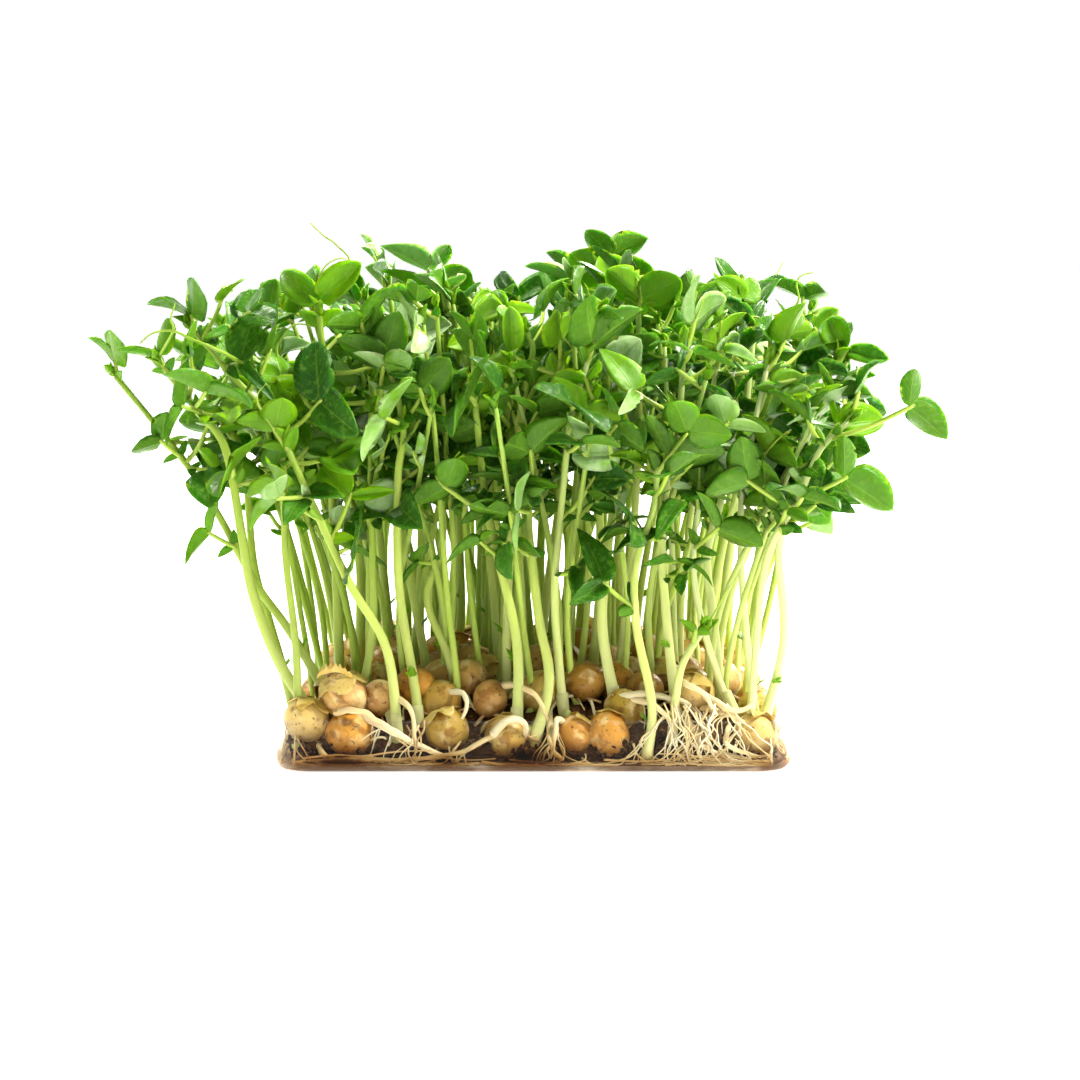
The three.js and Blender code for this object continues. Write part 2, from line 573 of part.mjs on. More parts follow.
// A shoot's leaf takes the first place that is clear of every other shoot, of the shoot's other
// leaves and, but for its foot, of its own stem. Where there is no such place it is left out.
function growLeaf(shoot, shoots, propose) {
  const others = shoots.flatMap((other) => (
    other === shoot ? other.leaves : [other.stem, ...other.leaves]));
  for (let attempt = 0; attempt < TRIES; attempt++) {
    const leaf = propose(attempt);
    const test = leafBody(leaf, LEAF_CLEARANCE);
    if (test.boundingBox().min[2] > LOWEST_LEAF
      && !others.some((other) => overlaps(test, other))
      && !leafletBodies(leaf).some((leaflet) => overlaps(leaflet, shoot.stem))) {
      shoot.leaves.push(leafBody(leaf, 0));
      return;
    }
  }
}

// Leaves after all the stems: the outer shoots' first, then the inner ones' from the tips down.
function growShoots() {
  const shoots = growStems();
  shoots.forEach((shoot, index) => {
    shoot.leaves = [];
    shoot.key = FIRST_LEAF_KEY + SHOOT_KEYS * index;
  });
  for (const shoot of shoots.filter(({ plan }) => plan)) {
    shoot.plan.forEach((planned, rank) => growLeaf(shoot, shoots, (attempt) => (
      outerLeaf(shoot.route, planned, rank, shoot.key + LEAF_KEYS * rank, attempt))));
  }
  for (const rank of [...INNER_LEAVES.keys()].reverse()) {
    for (const shoot of shoots.filter(({ plan }) => !plan)) {
      growLeaf(shoot, shoots, (attempt) => (
        innerLeaf(shoot.route, rank, shoot.key, attempt)));
    }
  }
  return shoots;
}

// ---- The whole object ----

const union = (bodies) => bodies.reduce((all, body) => all.add(body));

const shoots = growShoots();
const stemHoles = union(shoots.map(({ route }) => stem(route, 2 * GAP)));
const seeds = [
  ...FRONT_SEEDS.map((place) => ({ place, shows: true })),
  ...[...SECOND_SEEDS, ...ruledSeeds()].map((place) => ({ place, shows: false })),
];
const roots = [...FRONT_ROOTS, ...ruledRoots()];
const seedsAndRoots = (grown) => union([
  ...seeds.map((each, i) => seed(each, FIRST_SEED_KEY + i, grown)),
  ...roots.map((each) => root(each, grown)),
]);

const model = new THREE.Group();
model.add(mesh('tray', tray(), COLOURS.tray, 0.1));
model.add(mesh('soil', soilSlab().subtract(seedsAndRoots(GAP)).subtract(stemHoles), COLOURS.soil, 1));
model.add(mesh('seed_root_mat', feltSlab().add(seedsAndRoots(0)).subtract(stemHoles), COLOURS.mat, 0.6));
shoots.forEach((shoot, index) => {
  const name = `shoot_${String(index + 1).padStart(2, '0')}`;
  const colour = COLOURS.shoots[index % COLOURS.shoots.length];
  model.add(mesh(name, union([shoot.stem, ...shoot.leaves]), colour, 0.6));
});

export default model;
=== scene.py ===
"""The looks of a tray of pea shoot microgreens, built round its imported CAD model.

Every shoot's stem and leaves follow the CAD part's own rules, so the fine shoot grows exactly where
the plain one stands. Lengths are in millimetres until a mesh is made, and then in metres.
"""

import math
from functools import partial

import bpy
import numpy as np
from mathutils import Euler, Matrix, Quaternion, Vector, kdtree, noise


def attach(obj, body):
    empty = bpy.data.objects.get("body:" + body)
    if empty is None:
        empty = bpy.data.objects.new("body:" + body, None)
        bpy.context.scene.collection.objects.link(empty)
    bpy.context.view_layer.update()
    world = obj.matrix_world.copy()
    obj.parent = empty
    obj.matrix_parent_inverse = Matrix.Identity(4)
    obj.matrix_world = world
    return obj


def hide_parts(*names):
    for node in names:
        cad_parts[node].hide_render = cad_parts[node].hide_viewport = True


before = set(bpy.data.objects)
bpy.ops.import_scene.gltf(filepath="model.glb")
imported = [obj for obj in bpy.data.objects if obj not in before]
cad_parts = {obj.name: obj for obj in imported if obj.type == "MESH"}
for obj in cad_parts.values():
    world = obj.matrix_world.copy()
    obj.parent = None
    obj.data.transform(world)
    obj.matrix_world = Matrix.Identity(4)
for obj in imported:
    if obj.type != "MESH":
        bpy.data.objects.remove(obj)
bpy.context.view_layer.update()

MM = 0.001
UP = Vector((0, 0, 1))
TURN = 2 * math.pi

# ---- Measures and rules of the CAD part ----

GAP = 0.35
TRAY_SIDE = 96
TRAY_HEIGHT = 9.5
TRAY_WALL = 0.8
TRAY_CORNER = 7
TRAY_HEEL = 1.6

SOIL_HALF = 44.8
SOIL_RIM = 2.6
SOIL_CROWN = 7.5
SOIL_LUMPS = 0.5
BED_CORNER = 0.07
MAT_RIM = 3.9
MAT_CROWN = 13

SEED = 4.3
ROOT = 0.7

STEM_BASE = 1.5
STEM_TIP = 0.8
STEM_SUNK = 3.5

BLADE = 0.6
LEAFLET = 11.5
LEAFLET_SHAPE = 0.64
LEAFLET_STALK = 0.5
CROWN_HEIGHT = 94
TRIES = 14
FIT = 0.05  # how near the CAD part's corners a try lies when it is the one that was taken

# What starts each stream of random numbers.
SIDE_SEEDS_KEY = 41
SIDE_ROOTS_KEY = 43
FIRST_SEED_KEY = 500
FILLER_KEY = 900
FIRST_ROUTE_KEY = 1000
ROUTE_KEYS = 50
FIRST_LEAF_KEY = 10000
SHOOT_KEYS = 1000
LEAF_KEYS = 100
CRUMBS_KEY = 61
SEED_TINTS_KEY = 71
FILLER_PLACES_KEY = 73
SEED_COATS_KEY = 75
FINE_ROOTS_KEY = 81
SLENDER_KEY = 91
LOW_LEAVES_KEY = 97
FINE_SHOOT_KEY = 55  # this one and the next are added to a shoot's own key
EXTRA_LEAVES_KEY = 77
HUSK_KEY = 3000  # added to a seed's own key

# Shoots at the front and sides. route: the stem's way up as (x, z); y: its depth at the foot and
# at the tip. leaves: (height of the joint, x, y, z of the leaflets' meeting point, leaflet length,
# how far the leaf's face is rolled towards the front, angle between petiole and leaflet).
OUTER_SHOOTS = [
    dict(y=[-34, -31], route=[[-36, 7], [-45, 23], [-52, 33], [-59, 46], [-66, 57], [-78, 72]],
        leaves=[[40, -60, -37, 43, 6.5, 60, 60], [57, -69, -35, 60, 6, 50, 50],
            [71, -78, -31, 74, 7.5, 20, 35]]),
    dict(y=[-37, -38], route=[[-39, 6], [-47, 18], [-52, 31], [-54, 42], [-57, 59], [-62, 66], [-68, 74]],
        leaves=[[66, -64, -42, 67, 8, 70, 60], [73, -69, -38, 76, 7.5, 60, 50]]),
    dict(y=[-34, -22], route=[[-43.6, 3.6], [-47, 16], [-50, 26], [-53, 37], [-55, 57], [-60, 64],
        [-64, 73]],
        leaves=[[60, -59, -26, 63, 7.5, 60, 50], [73, -65, -22, 75, 8, 60, 40]]),
    dict(y=[-41, -36], route=[[-44, 3.4], [-44, 21], [-46, 40], [-47, 61], [-57, 74], [-63, 81]],
        leaves=[[61, -39, -43, 68, 11, 60, 65], [74, -54, -38, 75, 9, 60, 60],
            [79, -63, -36, 83, 9, 30, 50]]),
    dict(y=[-42, -45], route=[[-25, 4], [-27, 22], [-34, 35], [-42, 53], [-45, 60]],
        leaves=[[36, -33, -47, 39, 6.5, 60, 50], [59, -47, -46, 63, 6.6, 50, 45]]),
    dict(y=[-36, -34], route=[[-33, 8], [-30, 25], [-30, 39], [-30, 48], [-29, 55]],
        leaves=[[55, -28, -35, 58, 8.3, 40, 60]]),
    dict(y=[-40, -35], route=[[-21, 5], [-22, 14], [-25, 34], [-25, 54], [-24, 62], [-26, 72]],
        leaves=[[64, -21, -38, 68, 8, 50, 60], [72, -27, -35, 75, 9.2, 70, 40]]),
    dict(y=[-33, -27], route=[[-14, 9], [-16, 19], [-20, 30], [-17, 41], [-18, 57], [-19, 64]],
        leaves=[[50, -14, -31, 54, 9, 60, 55], [64, -19, -27, 67, 9.2, 40, 45]]),
    dict(y=[-42, -36], route=[[-3, 5], [-3, 23], [-7, 41], [-9, 51], [-11, 70]],
        leaves=[[47, -16, -41, 52, 7, 50, 70], [41, -5, -42, 42, 7, 75, 75],
            [70, -11, -36, 74, 9.2, 60, 45]]),
    dict(y=[-29, -30], route=[[-5, 10], [-5, 24], [-4, 45], [-3, 60], [-1, 72], [0, 77], [-1, 80]],
        leaves=[[66, 2, -31, 70, 8, 50, 50]]),
    dict(y=[-43, -32], route=[[0, 4], [3, 16], [1, 28], [-1, 47], [0, 60], [5, 74]],
        leaves=[[47, -5, -43, 50, 8.1, 60, 75], [74, 5, -32, 78, 8.1, 60, 45]]),
    dict(y=[-37, -38], route=[[6, 7], [5, 17], [4, 31], [5, 45], [7, 64], [10, 75]],
        leaves=[[62, 9, -41, 66, 7.7, 60, 60], [75, 11, -38, 78, 11.4, 50, 40]]),
    dict(y=[-36, -30], route=[[16, 8], [13, 25], [14, 39], [15, 50], [14, 68]],
        leaves=[[55, 16, -35, 60, 8.8, 60, 60], [68, 14, -30, 72, 9.2, 60, 45]]),
    dict(y=[-45, -42], route=[[21, 1.8], [22, 12], [19, 27], [19, 38], [22, 48], [23, 56]],
        leaves=[[30, 13, -47, 35, 10.6, 70, 55], [43, 18, -46, 46, 7.7, 60, 70],
            [55, 25, -43, 58, 10.3, 60, 60]]),
    dict(y=[-37, -34], route=[[39, 7], [35, 15], [31, 29], [30, 39], [31, 48]],
        leaves=[[40, 34, -39, 44, 8.8, 60, 60], [48, 31, -35, 52, 8.4, 50, 50]]),
    dict(y=[-39, -34], route=[[27, 8], [25, 26], [24, 45], [27, 62], [28, 78]],
        leaves=[[52, 31, -41, 57, 9.5, 60, 55], [65, 20, -38, 70, 10, 60, 55],
            [78, 30, -33, 82, 10, 50, 45]]),
    dict(y=[-33, -29], route=[[42, 7], [40, 25], [39, 45], [41, 60], [44, 74]],
        leaves=[[52, 45, -36, 56, 9, 60, 55], [62, 36, -34, 67, 9.5, 60, 55],
            [74, 47, -28, 78, 10, 50, 45]]),
    dict(y=[-30, -26], route=[[36, 8], [34, 27], [33, 38], [36, 50], [38, 62]],
        leaves=[[46, 37, -30, 50, 8.4, 60, 50], [62, 38, -26, 66, 9, 50, 50]]),
    dict(y=[-41, -40], route=[[40, 5], [41, 16], [43, 38], [49, 50], [53, 59], [58, 64]],
        leaves=[[61, 69, -43, 67, 8.8, 60, 65], [50, 57, -44, 54, 10.2, 60, 60],
            [64, 60, -38, 69, 8.5, 40, 50]]),
    dict(y=[-35, -36], route=[[42.6, 4.2], [47, 22], [46, 38], [47, 45], [52, 53]],
        leaves=[[45, 51, -37, 48, 6.6, 60, 50], [53, 54, -36, 56, 8.1, 60, 50]]),
    dict(y=[-43, -43], route=[[25.6, 4], [27, 17], [29, 22], [31, 25]],
        leaves=[[23, 30, -44, 25.5, 3, 60, 60], [25, 32, -43, 26.5, 3, 40, 50]]),
]

# Feet of the inner shoots, a jittered grid of rows from front to back.
INNER_ROWS = [-24, -15, -6, 3, 12, 21, 30, 39]
INNER_COLUMNS = [[-36, -18, 0, 18, 36], [-27, -9, 9, 27]]  # of odd and even rows
INNER_COUNT = 36
INNER_JITTER = 3
INNER_LEAVES = [0.74, 1]  # their joints' shares of the stem's height

# Seeds at the front, as [x, y, z, radius].
FRONT_SEEDS = [
    [-34, -42, 5.4, 4.6], [-35, -41, 13, 4.4], [-28.5, -39, 12.4, 3.6], [-42, -41, 8.6, 4.4],
    [-16, -42, 6.8, 4.3], [-17.5, -36, 11, 4.2], [-8, -38, 12, 3.6], [-5, -42.2, 5.4, 4.1],
    [8, -41.6, 5.6, 3.9], [14, -42, 5.2, 4.4], [17, -38, 10, 3.9], [30, -38, 13, 3.9],
    [41.5, -41.5, 6, 4.1],
]
# Seeds behind those, which show between the stems.
SECOND_SEEDS = [
    [-37, -33, 13.2, 4.1], [-22, -35, 14, 3.9], [-12, -32, 15, 3.7], [10, -33, 14.5, 3.9],
    [21, -33, 13, 3.8], [36, -22, 13, 4], [42.6, -29, 8.6, 4],
]

# Thick roots that show at the front, as routes of [x, y, z] with a radius.
FRONT_ROOTS = [
    dict(radius=1.1, route=[[-33, -41, 10], [-27, -45.4, 8], [-23, -45.8, 5.6], [-16, -45.9, 2.6]]),
    dict(radius=0.7, route=[[-4, -42, 7], [-9, -46, 5.8], [-14, -46.2, 3.4], [-22, -46.2, 2]]),
    dict(radius=0.7, route=[[-41, -40, 6], [-38, -46, 2.6], [-30, -46.2, 2.3], [-24, -46.2, 2]]),
    dict(radius=0.8, route=[[3, -37, 9.6], [3.2, -45.4, 6], [3.6, -45.8, 3.6], [5.6, -46, 2.1]]),
    dict(radius=0.9, route=[[15, -39, 12.4], [21, -41.4, 13.4], [27, -41.6, 12.6], [31, -40, 10.5]]),
    dict(radius=0.7, route=[[29, -37, 9.4], [28.8, -45.4, 6.6], [28.4, -46.2, 4], [26.4, -46.2, 2.1]]),
    dict(radius=0.8, route=[[29, -40, 8], [31, -45.4, 5], [35, -46, 3.2], [40, -46, 2.1]]),
    dict(radius=0.8, route=[[31, -40, 11], [35, -44, 10.4], [38, -44.4, 9.4], [40, -41, 7]]),
    dict(radius=0.7, route=[[37, -38, 7.6], [35.6, -45.8, 5.4], [38, -46.2, 3.8], [42, -46.2, 2.6]]),
]

# ---- Repeatable random numbers ----


def stream(key):
    """A stream of numbers from 0 to 1, the same for the same key (Park and Miller's generator)."""
    state = (key * 7919 + 104729) % 2147483647

    def draw():
        nonlocal state
        state = state * 16807 % 2147483647
        return state / 2147483647

    draw()
    draw()
    return draw


def between(draw, low, high):
    return low + (high - low) * draw()


def lerp(a, b, share):
    return a + (b - a) * share


def clamp(value, low, high):
    return min(high, max(low, value))


def direction(turn, rise):
    """The way that points so far round from +X and so far up from level."""
    return Vector((math.cos(turn) * math.cos(rise), math.sin(turn) * math.cos(rise), math.sin(rise)))


# ---- Where the CAD part's shoots stand ----


def outwards(x, y):
    """How far a place is from the middle, from 0 there to 1 at the wall."""
    return min(1, max(abs(x), abs(y)) / SOIL_HALF)


def soil_top(x, y):
    lumps = SOIL_LUMPS * math.sin(0.33 * x + 1.3) * math.cos(0.29 * y + 0.4)
    out = outwards(x, y)
    return SOIL_RIM + (SOIL_CROWN - SOIL_RIM) * (1 - out**3) + lumps * (1 - out**8)


def mat_top(x, y):
    lumps = SOIL_LUMPS * math.sin(0.41 * x) * math.sin(0.37 * y + 1)
    return MAT_RIM + (MAT_CROWN - MAT_RIM) * (1 - outwards(x, y) ** 6) + lumps


def outer_route(plan):
    spans = len(plan["route"]) - 1
    return [Vector((x, lerp(*plan["y"], i / spans), z)) for i, (x, z) in enumerate(plan["route"])]


def crown_top(x):
    return CROWN_HEIGHT - 0.3 * max(0, x - 28) - 0.12 * max(0, -x - 30)


def leaning_route(foot, tip, sway, shares):
    """A stem's route from its foot to its tip. shares: how far up, how far over and how far into
    the sway each point is."""
    return [Vector((lerp(foot[0], tip[0], lean) + sway[0] * bend,
                    lerp(foot[1], tip[1], lean) + sway[1] * bend,
                    lerp(foot[2], tip[2], share))) for share, lean, bend in shares]


def inner_route(number, attempt):
    """One try at the route of an inner shoot's stem, leaning outwards from its foot."""
    draw = stream(FIRST_ROUTE_KEY + ROUTE_KEYS * number + attempt)
    odd, even = INNER_COLUMNS
    pair, place = divmod(number, len(odd) + len(even))
    second = int(place >= len(odd))
    jitter = INNER_JITTER + 0.3 * attempt
    x = INNER_COLUMNS[second][place - second * len(odd)] + between(draw, -jitter, jitter)
    y = INNER_ROWS[2 * pair + second] + between(draw, -jitter, jitter)
    tip_x = 1.28 * x + between(draw, -9, 9)
    tip_y = 1.2 * y + between(draw, -8, 8)
    height = crown_top(tip_x) - between(draw, 6, 20)
    sway = [between(draw, -3, 3), between(draw, -3, 3)]
    return leaning_route((x, y, mat_top(x, y) - STEM_SUNK), (tip_x, tip_y, height), sway,
                         [(0, 0, 0), (0.3, 0.12, 0.8), (0.66, 0.5, 0.8), (1, 1, 0)])


def on_stem(route, height):
    """The point of a stem at a height, at most just short of its tip."""
    spans = len(route) - 1
    span = next(i for i in range(spans) if i == spans - 1 or route[i + 1].z > height)
    low, high = route[span], route[span + 1]
    return low.lerp(high, clamp((height - low.z) / (high.z - low.z), 0, 0.92))


class Leaf:
    """A leaf from its foot on the stem to the joint where its pair of leaflets meets."""

    def __init__(self, foot, joint, length, roll, spread, draw):
        self.foot, self.joint, self.length, self.spread = foot, joint, length, spread
        self.along = (joint - foot).normalized()
        side = UP.cross(self.along)
        if side.length_squared < 1e-4:
            side = Vector((1, 0, 0))
        self.side = Quaternion(self.along, roll) @ side.normalized()
        self.face = self.along.cross(self.side)
        self.shape = LEAFLET_SHAPE * between(draw, 0.9, 1.1)
        self.lift = between(draw, -0.15, 0.45)
        self.fold = between(draw, 0.15, 0.5)
        self.droop = between(draw, -0.05, 0.22)

    def directions(self, hand):
        """The way a leaflet points, the way across it and the way its face looks."""
        lean_c, lean_s = math.cos(self.lift), math.sin(self.lift)
        leant = self.side * lean_c + self.face * lean_s
        forward = self.along * math.cos(self.spread) + leant * (hand * math.sin(self.spread))
        face = self.face * lean_c - self.side * (hand * lean_s)
        return forward, face.cross(forward), face

    def middle(self, hand, share=0.5):
        """A point on a leaflet's midrib, a share of the way along it."""
        return self.joint + self.directions(hand)[0] * (share * self.length)

    def edge(self, hand):
        """The points round the plain leaflet's edge."""
        forward, across, face = self.directions(hand)
        half = self.length * self.shape / 2

        def at(u, v):
            rise = abs(v) * half * math.sin(self.fold) - self.droop * self.length * u * u
            return (self.joint + forward * (LEAFLET_STALK + self.length * u)
                    + across * (v * half * math.cos(self.fold)) + face * rise)

        return [at(0.34, -1), at(0.74, -0.8), at(1, 0), at(0.74, 0.8), at(0.34, 1)]


def outer_leaf(route, planned, key, attempt):
    """One try at a leaf of an outer shoot. Later tries move it a little."""
    height, x, y, z, length, roll, spread = planned
    draw = stream(key + attempt)
    shift = 1.1 * attempt
    moved = [between(draw, -0.6, 0.6), between(draw, -1, 1), between(draw, -0.5, 0.7)]
    joint = Vector((x, y, z)) + Vector(moved) * shift
    hand = -1 if x < 0 else 1
    turned = -hand * math.radians(roll + shift * between(draw, -4, 4))
    return Leaf(on_stem(route, height), joint, length * (1 - 0.02 * attempt), turned,
                math.radians(spread), draw)


def inner_leaf(route, rank, shoot_key, attempt):
    """One try at a leaf of an inner shoot: on alternate sides up the stem, the last at its tip."""
    draw = stream(shoot_key + LEAF_KEYS * rank + attempt)
    foot = on_stem(route, lerp(route[0].z, route[-1].z, INNER_LEAVES[rank]))
    last = rank == len(INNER_LEAVES) - 1
    turn = (math.pi * rank + TURN * stream(shoot_key)()
            + between(draw, -0.7, 0.7) * (1 + 0.15 * attempt))
    out = direction(turn, between(draw, 0.3, 1))
    if last:
        out = ((route[-1] - route[-2]).normalized() * 2 + direction(turn, 0) + UP * 1.2).normalized()
    reach = between(draw, 2.5, 5) if last else between(draw, 5, 10)
    length = LEAFLET * between(draw, 0.85, 1.2) * (0.85 if last else 1) * (1 - 0.02 * attempt)
    roll = between(draw, -1.2, 1.2)
    return Leaf(foot, foot + out * reach, length, roll, between(draw, 0.8, 1.15), draw)


def node_tree(name):
    """The corners of a CAD node, to look up which is nearest."""
    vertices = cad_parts[name].data.vertices
    tree = kdtree.KDTree(len(vertices))
    for vertex in vertices:
        tree.insert(vertex.co / MM, vertex.index)
    tree.balance()
    return tree


def misfit(tree, points, offset):
    """How far a node's nearest corners are, at the median, from lying this far from the points."""
    return float(np.median([abs(tree.find(point)[2] - offset) for point in points]))


def best_try(propose, misfit_of):
    """The try that the CAD part took, or None where it took none of them."""
    tries = [propose(attempt) for attempt in range(TRIES)]
    misfits = [misfit_of(each) for each in tries]
    best = int(np.argmin(misfits))
    return tries[best] if misfits[best] < FIT else None


class Shoot:
    """One of the CAD part's shoots: its stem's route and the leaves that it bears."""

    def __init__(self, index):
        self.name = f"shoot_{index + 1:02d}"
        self.key = FIRST_LEAF_KEY + SHOOT_KEYS * index
        self.outer = index < len(OUTER_SHOOTS)
        tree = node_tree(self.name)

        def stem_misfit(route):
            rings = [(route[i], lerp(STEM_BASE, STEM_TIP, i / (len(route) - 1))) for i in (1, 2)]
            return float(np.mean([misfit(tree, [point], radius) for point, radius in rings]))

        def leaf_misfit(leaf):
            return misfit(tree, leaf.edge(-1) + leaf.edge(1), BLADE / 2)

        if self.outer:
            plan = OUTER_SHOOTS[index]
            self.route = outer_route(plan)
            proposals = [partial(outer_leaf, self.route, planned, self.key + LEAF_KEYS * rank)
                         for rank, planned in enumerate(plan["leaves"])]
        else:
            self.route = best_try(partial(inner_route, index - len(OUTER_SHOOTS)), stem_misfit)
            proposals = [partial(inner_leaf, self.route, rank, self.key)
                         for rank in range(len(INNER_LEAVES))]
        found = [best_try(propose, leaf_misfit) for propose in proposals]
        self.leaves = [leaf for leaf in found if leaf]


SHOOTS = [Shoot(index) for index in range(len(OUTER_SHOOTS) + INNER_COUNT)]

# ---- Meshes ----


def add_object(name, data):
    """A new object in the scene that shows the data."""
    made = bpy.data.objects.new(name, data)
    bpy.context.scene.collection.objects.link(made)
    return made


class Surface:
    """Points and faces that become one mesh, with numbers for the material at each point."""

    def __init__(self):
        self.points, self.maps, self.tints, self.shades = [], [], [], []
        self.faces, self.kinds = [], []
        self.count = 0

    def add(self, points, faces, maps, tint, shade=0.0, kind=0):
        """maps: a place (u, v) for each point; tint and shade: one number, or one for each point."""
        size = len(points)
        self.points.append(np.asarray(points, dtype=float).reshape(size, 3))
        self.maps.append(np.asarray(maps, dtype=float).reshape(size, 2))
        self.tints.append(np.broadcast_to(np.asarray(tint, dtype=float), (size,)))
        self.shades.append(np.broadcast_to(np.asarray(shade, dtype=float), (size,)))
        self.faces.extend([tuple(corner + self.count for corner in face) for face in faces])
        self.kinds.extend([kind] * len(faces))
        self.count += size

    def build(self, name, materials, slot, node=None):
        """A piece of the scene, which takes the CAD node's place if one is named."""
        mesh = bpy.data.meshes.new(name)
        mesh.from_pydata(np.concatenate(self.points) * MM, [], self.faces)
        loops = np.empty(len(mesh.loops), dtype=np.int32)
        mesh.loops.foreach_get("vertex_index", loops)
        layer = mesh.uv_layers.new(name="Shape")
        layer.data.foreach_set("uv", np.concatenate(self.maps)[loops].ravel())
        for label, values in (("tint", self.tints), ("shade", self.shades)):
            attribute = mesh.attributes.new(label, "FLOAT", "POINT")
            attribute.data.foreach_set("value", np.concatenate(values))
        for material in materials:
            mesh.materials.append(material)
        mesh.polygons.foreach_set("material_index", self.kinds)
        mesh.shade_smooth()
        mesh.update()
        piece = add_object(name, mesh)
        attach(piece, "root")
        if node:
            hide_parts(node)
        return piece


def smooth_route(points, steps):
    """Points on a smooth curve through the given points, and how far along the route each is."""
    points = [Vector(point) for point in points]
    ends = [points[0] * 2 - points[1], *points, points[-1] * 2 - points[-2]]
    spans = len(points) - 1
    route, shares = [], []
    for i in range(spans * steps + 1):
        span = min(i // steps, spans - 1)
        t = i / steps - span
        a, b, c, d = ends[span:span + 4]
        route.append((b * 2 + (c - a) * t + (a * 2 - b * 5 + c * 4 - d) * t * t
                      + (b * 3 - a - c * 3 + d) * t**3) * 0.5)
        shares.append(i / (spans * steps))
    return route, shares


def ring_faces(rings, around, start=0):
    """Faces between rings of points that follow one another."""
    faces = []
    for ring in range(rings - 1):
        for k in range(around):
            a, b = start + ring * around + k, start + ring * around + (k + 1) % around
            faces.append((a, b, b + around, a + around))
    return faces


def add_tube(surface, route, radii, sides, tint, shades, ridges=0.0):
    """A round tube through the route's points, closed at both ends.

    shades: one number for all of it, or one for each point of the route."""
    count = len(route)
    shades = np.broadcast_to(shades, (count,))
    points, maps = [], []
    along = (route[1] - route[0]).normalized()
    across = along.orthogonal().normalized()
    length = 0.0
    for i, centre in enumerate(route):
        turned = (route[min(i + 1, count - 1)] - route[max(i - 1, 0)]).normalized()
        across = along.rotation_difference(turned) @ across
        along = turned
        up = along.cross(across)
        if i:
            length += (centre - route[i - 1]).length
        for k in range(sides):
            angle = TURN * k / sides
            radius = radii[i] * (1 + ridges * math.cos(4 * angle))
            points.append(centre + across * (radius * math.cos(angle)) + up * (radius * math.sin(angle)))
            maps.append((k / sides, length / 10))
    faces = ring_faces(count, sides)
    first, last = (route[0] - route[1]).normalized(), (route[-1] - route[-2]).normalized()
    points += [route[0] + first * (0.6 * radii[0]), route[-1] + last * (0.6 * radii[-1])]
    maps += [(0.5, 0), (0.5, length / 10)]
    foot = count * sides
    for k in range(sides):
        a, b = k, (k + 1) % sides
        faces += [(b, a, foot), (foot - sides + a, foot - sides + b, foot + 1)]
    values = [*np.repeat(shades, sides), shades[0], shades[-1]]
    surface.add(points, faces, maps, tint, values)


def sheet_faces(rows, columns, tipped=True):
    """Faces of a thin closed body: an upper and a lower grid that share their edges.

    The upper grid has all its points, and the lower only its inner ones. Where the body is tipped,
    the last row is a single point."""
    across = columns + 1
    tip = rows * across
    lower_start = tip + (1 if tipped else across)

    def upper(row, column):
        return tip if tipped and row == rows else row * across + column

    def lower(row, column):
        if row in (0, rows) or column in (0, columns):
            return upper(row, column)
        return lower_start + (row - 1) * (columns - 1) + column - 1

    faces = []
    for row in range(rows):
        for column in range(columns):
            for corner, step in ((upper, 1), (lower, -1)):
                ring = [corner(row, column), corner(row + 1, column),
                        corner(row + 1, column + 1), corner(row, column + 1)]
                ring = [point for i, point in enumerate(ring) if point != ring[i - 1]]
                faces.append(tuple(ring[::step]))
    return faces


LEAF_GRID = (9, 6)  # rows and columns of a large leaflet's faces
SMALL_GRID = (6, 4)
GRID_FACES = {grid: sheet_faces(*grid) for grid in (LEAF_GRID, SMALL_GRID)}
LEAF_THICK = 0.26
LEAF_KIND = 1  # the leaf material's place on a piece with shoots; the stems' is 0


def add_blade(surface, base, axes, length, half_width, outline, shape, tint, grid=SMALL_GRID):
    """A leaflet, stipule or bract as a thin closed body.

    axes: the ways along, across and out of its face; outline(u, v): its width there, from 0 to 1;
    shape(u, v, width): its rise out of the flat, where v runs from -1 to 1 across it."""
    rows, columns = grid
    forward, across, face = [np.array(axis) for axis in axes]
    even = np.linspace(0, 1, rows + 1)
    u = (0.25 * even + 0.375 * (1 - np.cos(np.pi * even)))[:, None] * np.ones(columns + 1)
    v = np.linspace(-1, 1, columns + 1)[None, :] * np.ones((rows + 1, 1))
    width = outline(u, v) * half_width
    rise = shape(u, v, width)
    middle = (np.array(base) + forward * (u * length)[..., None] + across * (v * width)[..., None]
              + face * rise[..., None])
    normal = np.cross(np.gradient(middle, axis=0), np.gradient(middle, axis=1))
    size = np.linalg.norm(normal, axis=-1, keepdims=True)
    normal = np.where(size > 1e-9, normal / np.maximum(size, 1e-9), face)
    thick = LEAF_THICK * np.clip(half_width / 2.5, 0.4, 1)
    half = thick / 2 * np.sqrt(np.clip(1 - v**2, 0, 1)) * np.clip(np.minimum(u, 1 - u) * 8, 0, 1)
    upper = (middle + normal * half[..., None])[:-1].reshape(-1, 3)
    lower = (middle - normal * half[..., None])[1:-1, 1:-1].reshape(-1, 3)
    points = np.concatenate([upper, middle[-1, columns // 2][None], lower])
    maps = np.stack([v * 0.5 + 0.5, u], axis=-1)
    places = np.concatenate([maps[:-1].reshape(-1, 2), [[0.5, 1.0]], maps[1:-1, 1:-1].reshape(-1, 2)])
    under = np.arange(len(points)) > len(upper)
    surface.add(points, GRID_FACES[grid], places, tint, under, LEAF_KIND)


def oval(early, blunt):
    """The outline of a leaflet: the lower the two numbers, the nearer to its foot it is broadest
    and the blunter it is there. Its tip has a slight point."""
    def width(u, v):
        point = blunt + 0.26 * np.clip(u, 0, 1) ** 3
        return np.clip(np.sin(np.pi * np.clip(u, 0, 1) ** early), 0, 1) ** point + 0.05 * (1 - u)
    return width


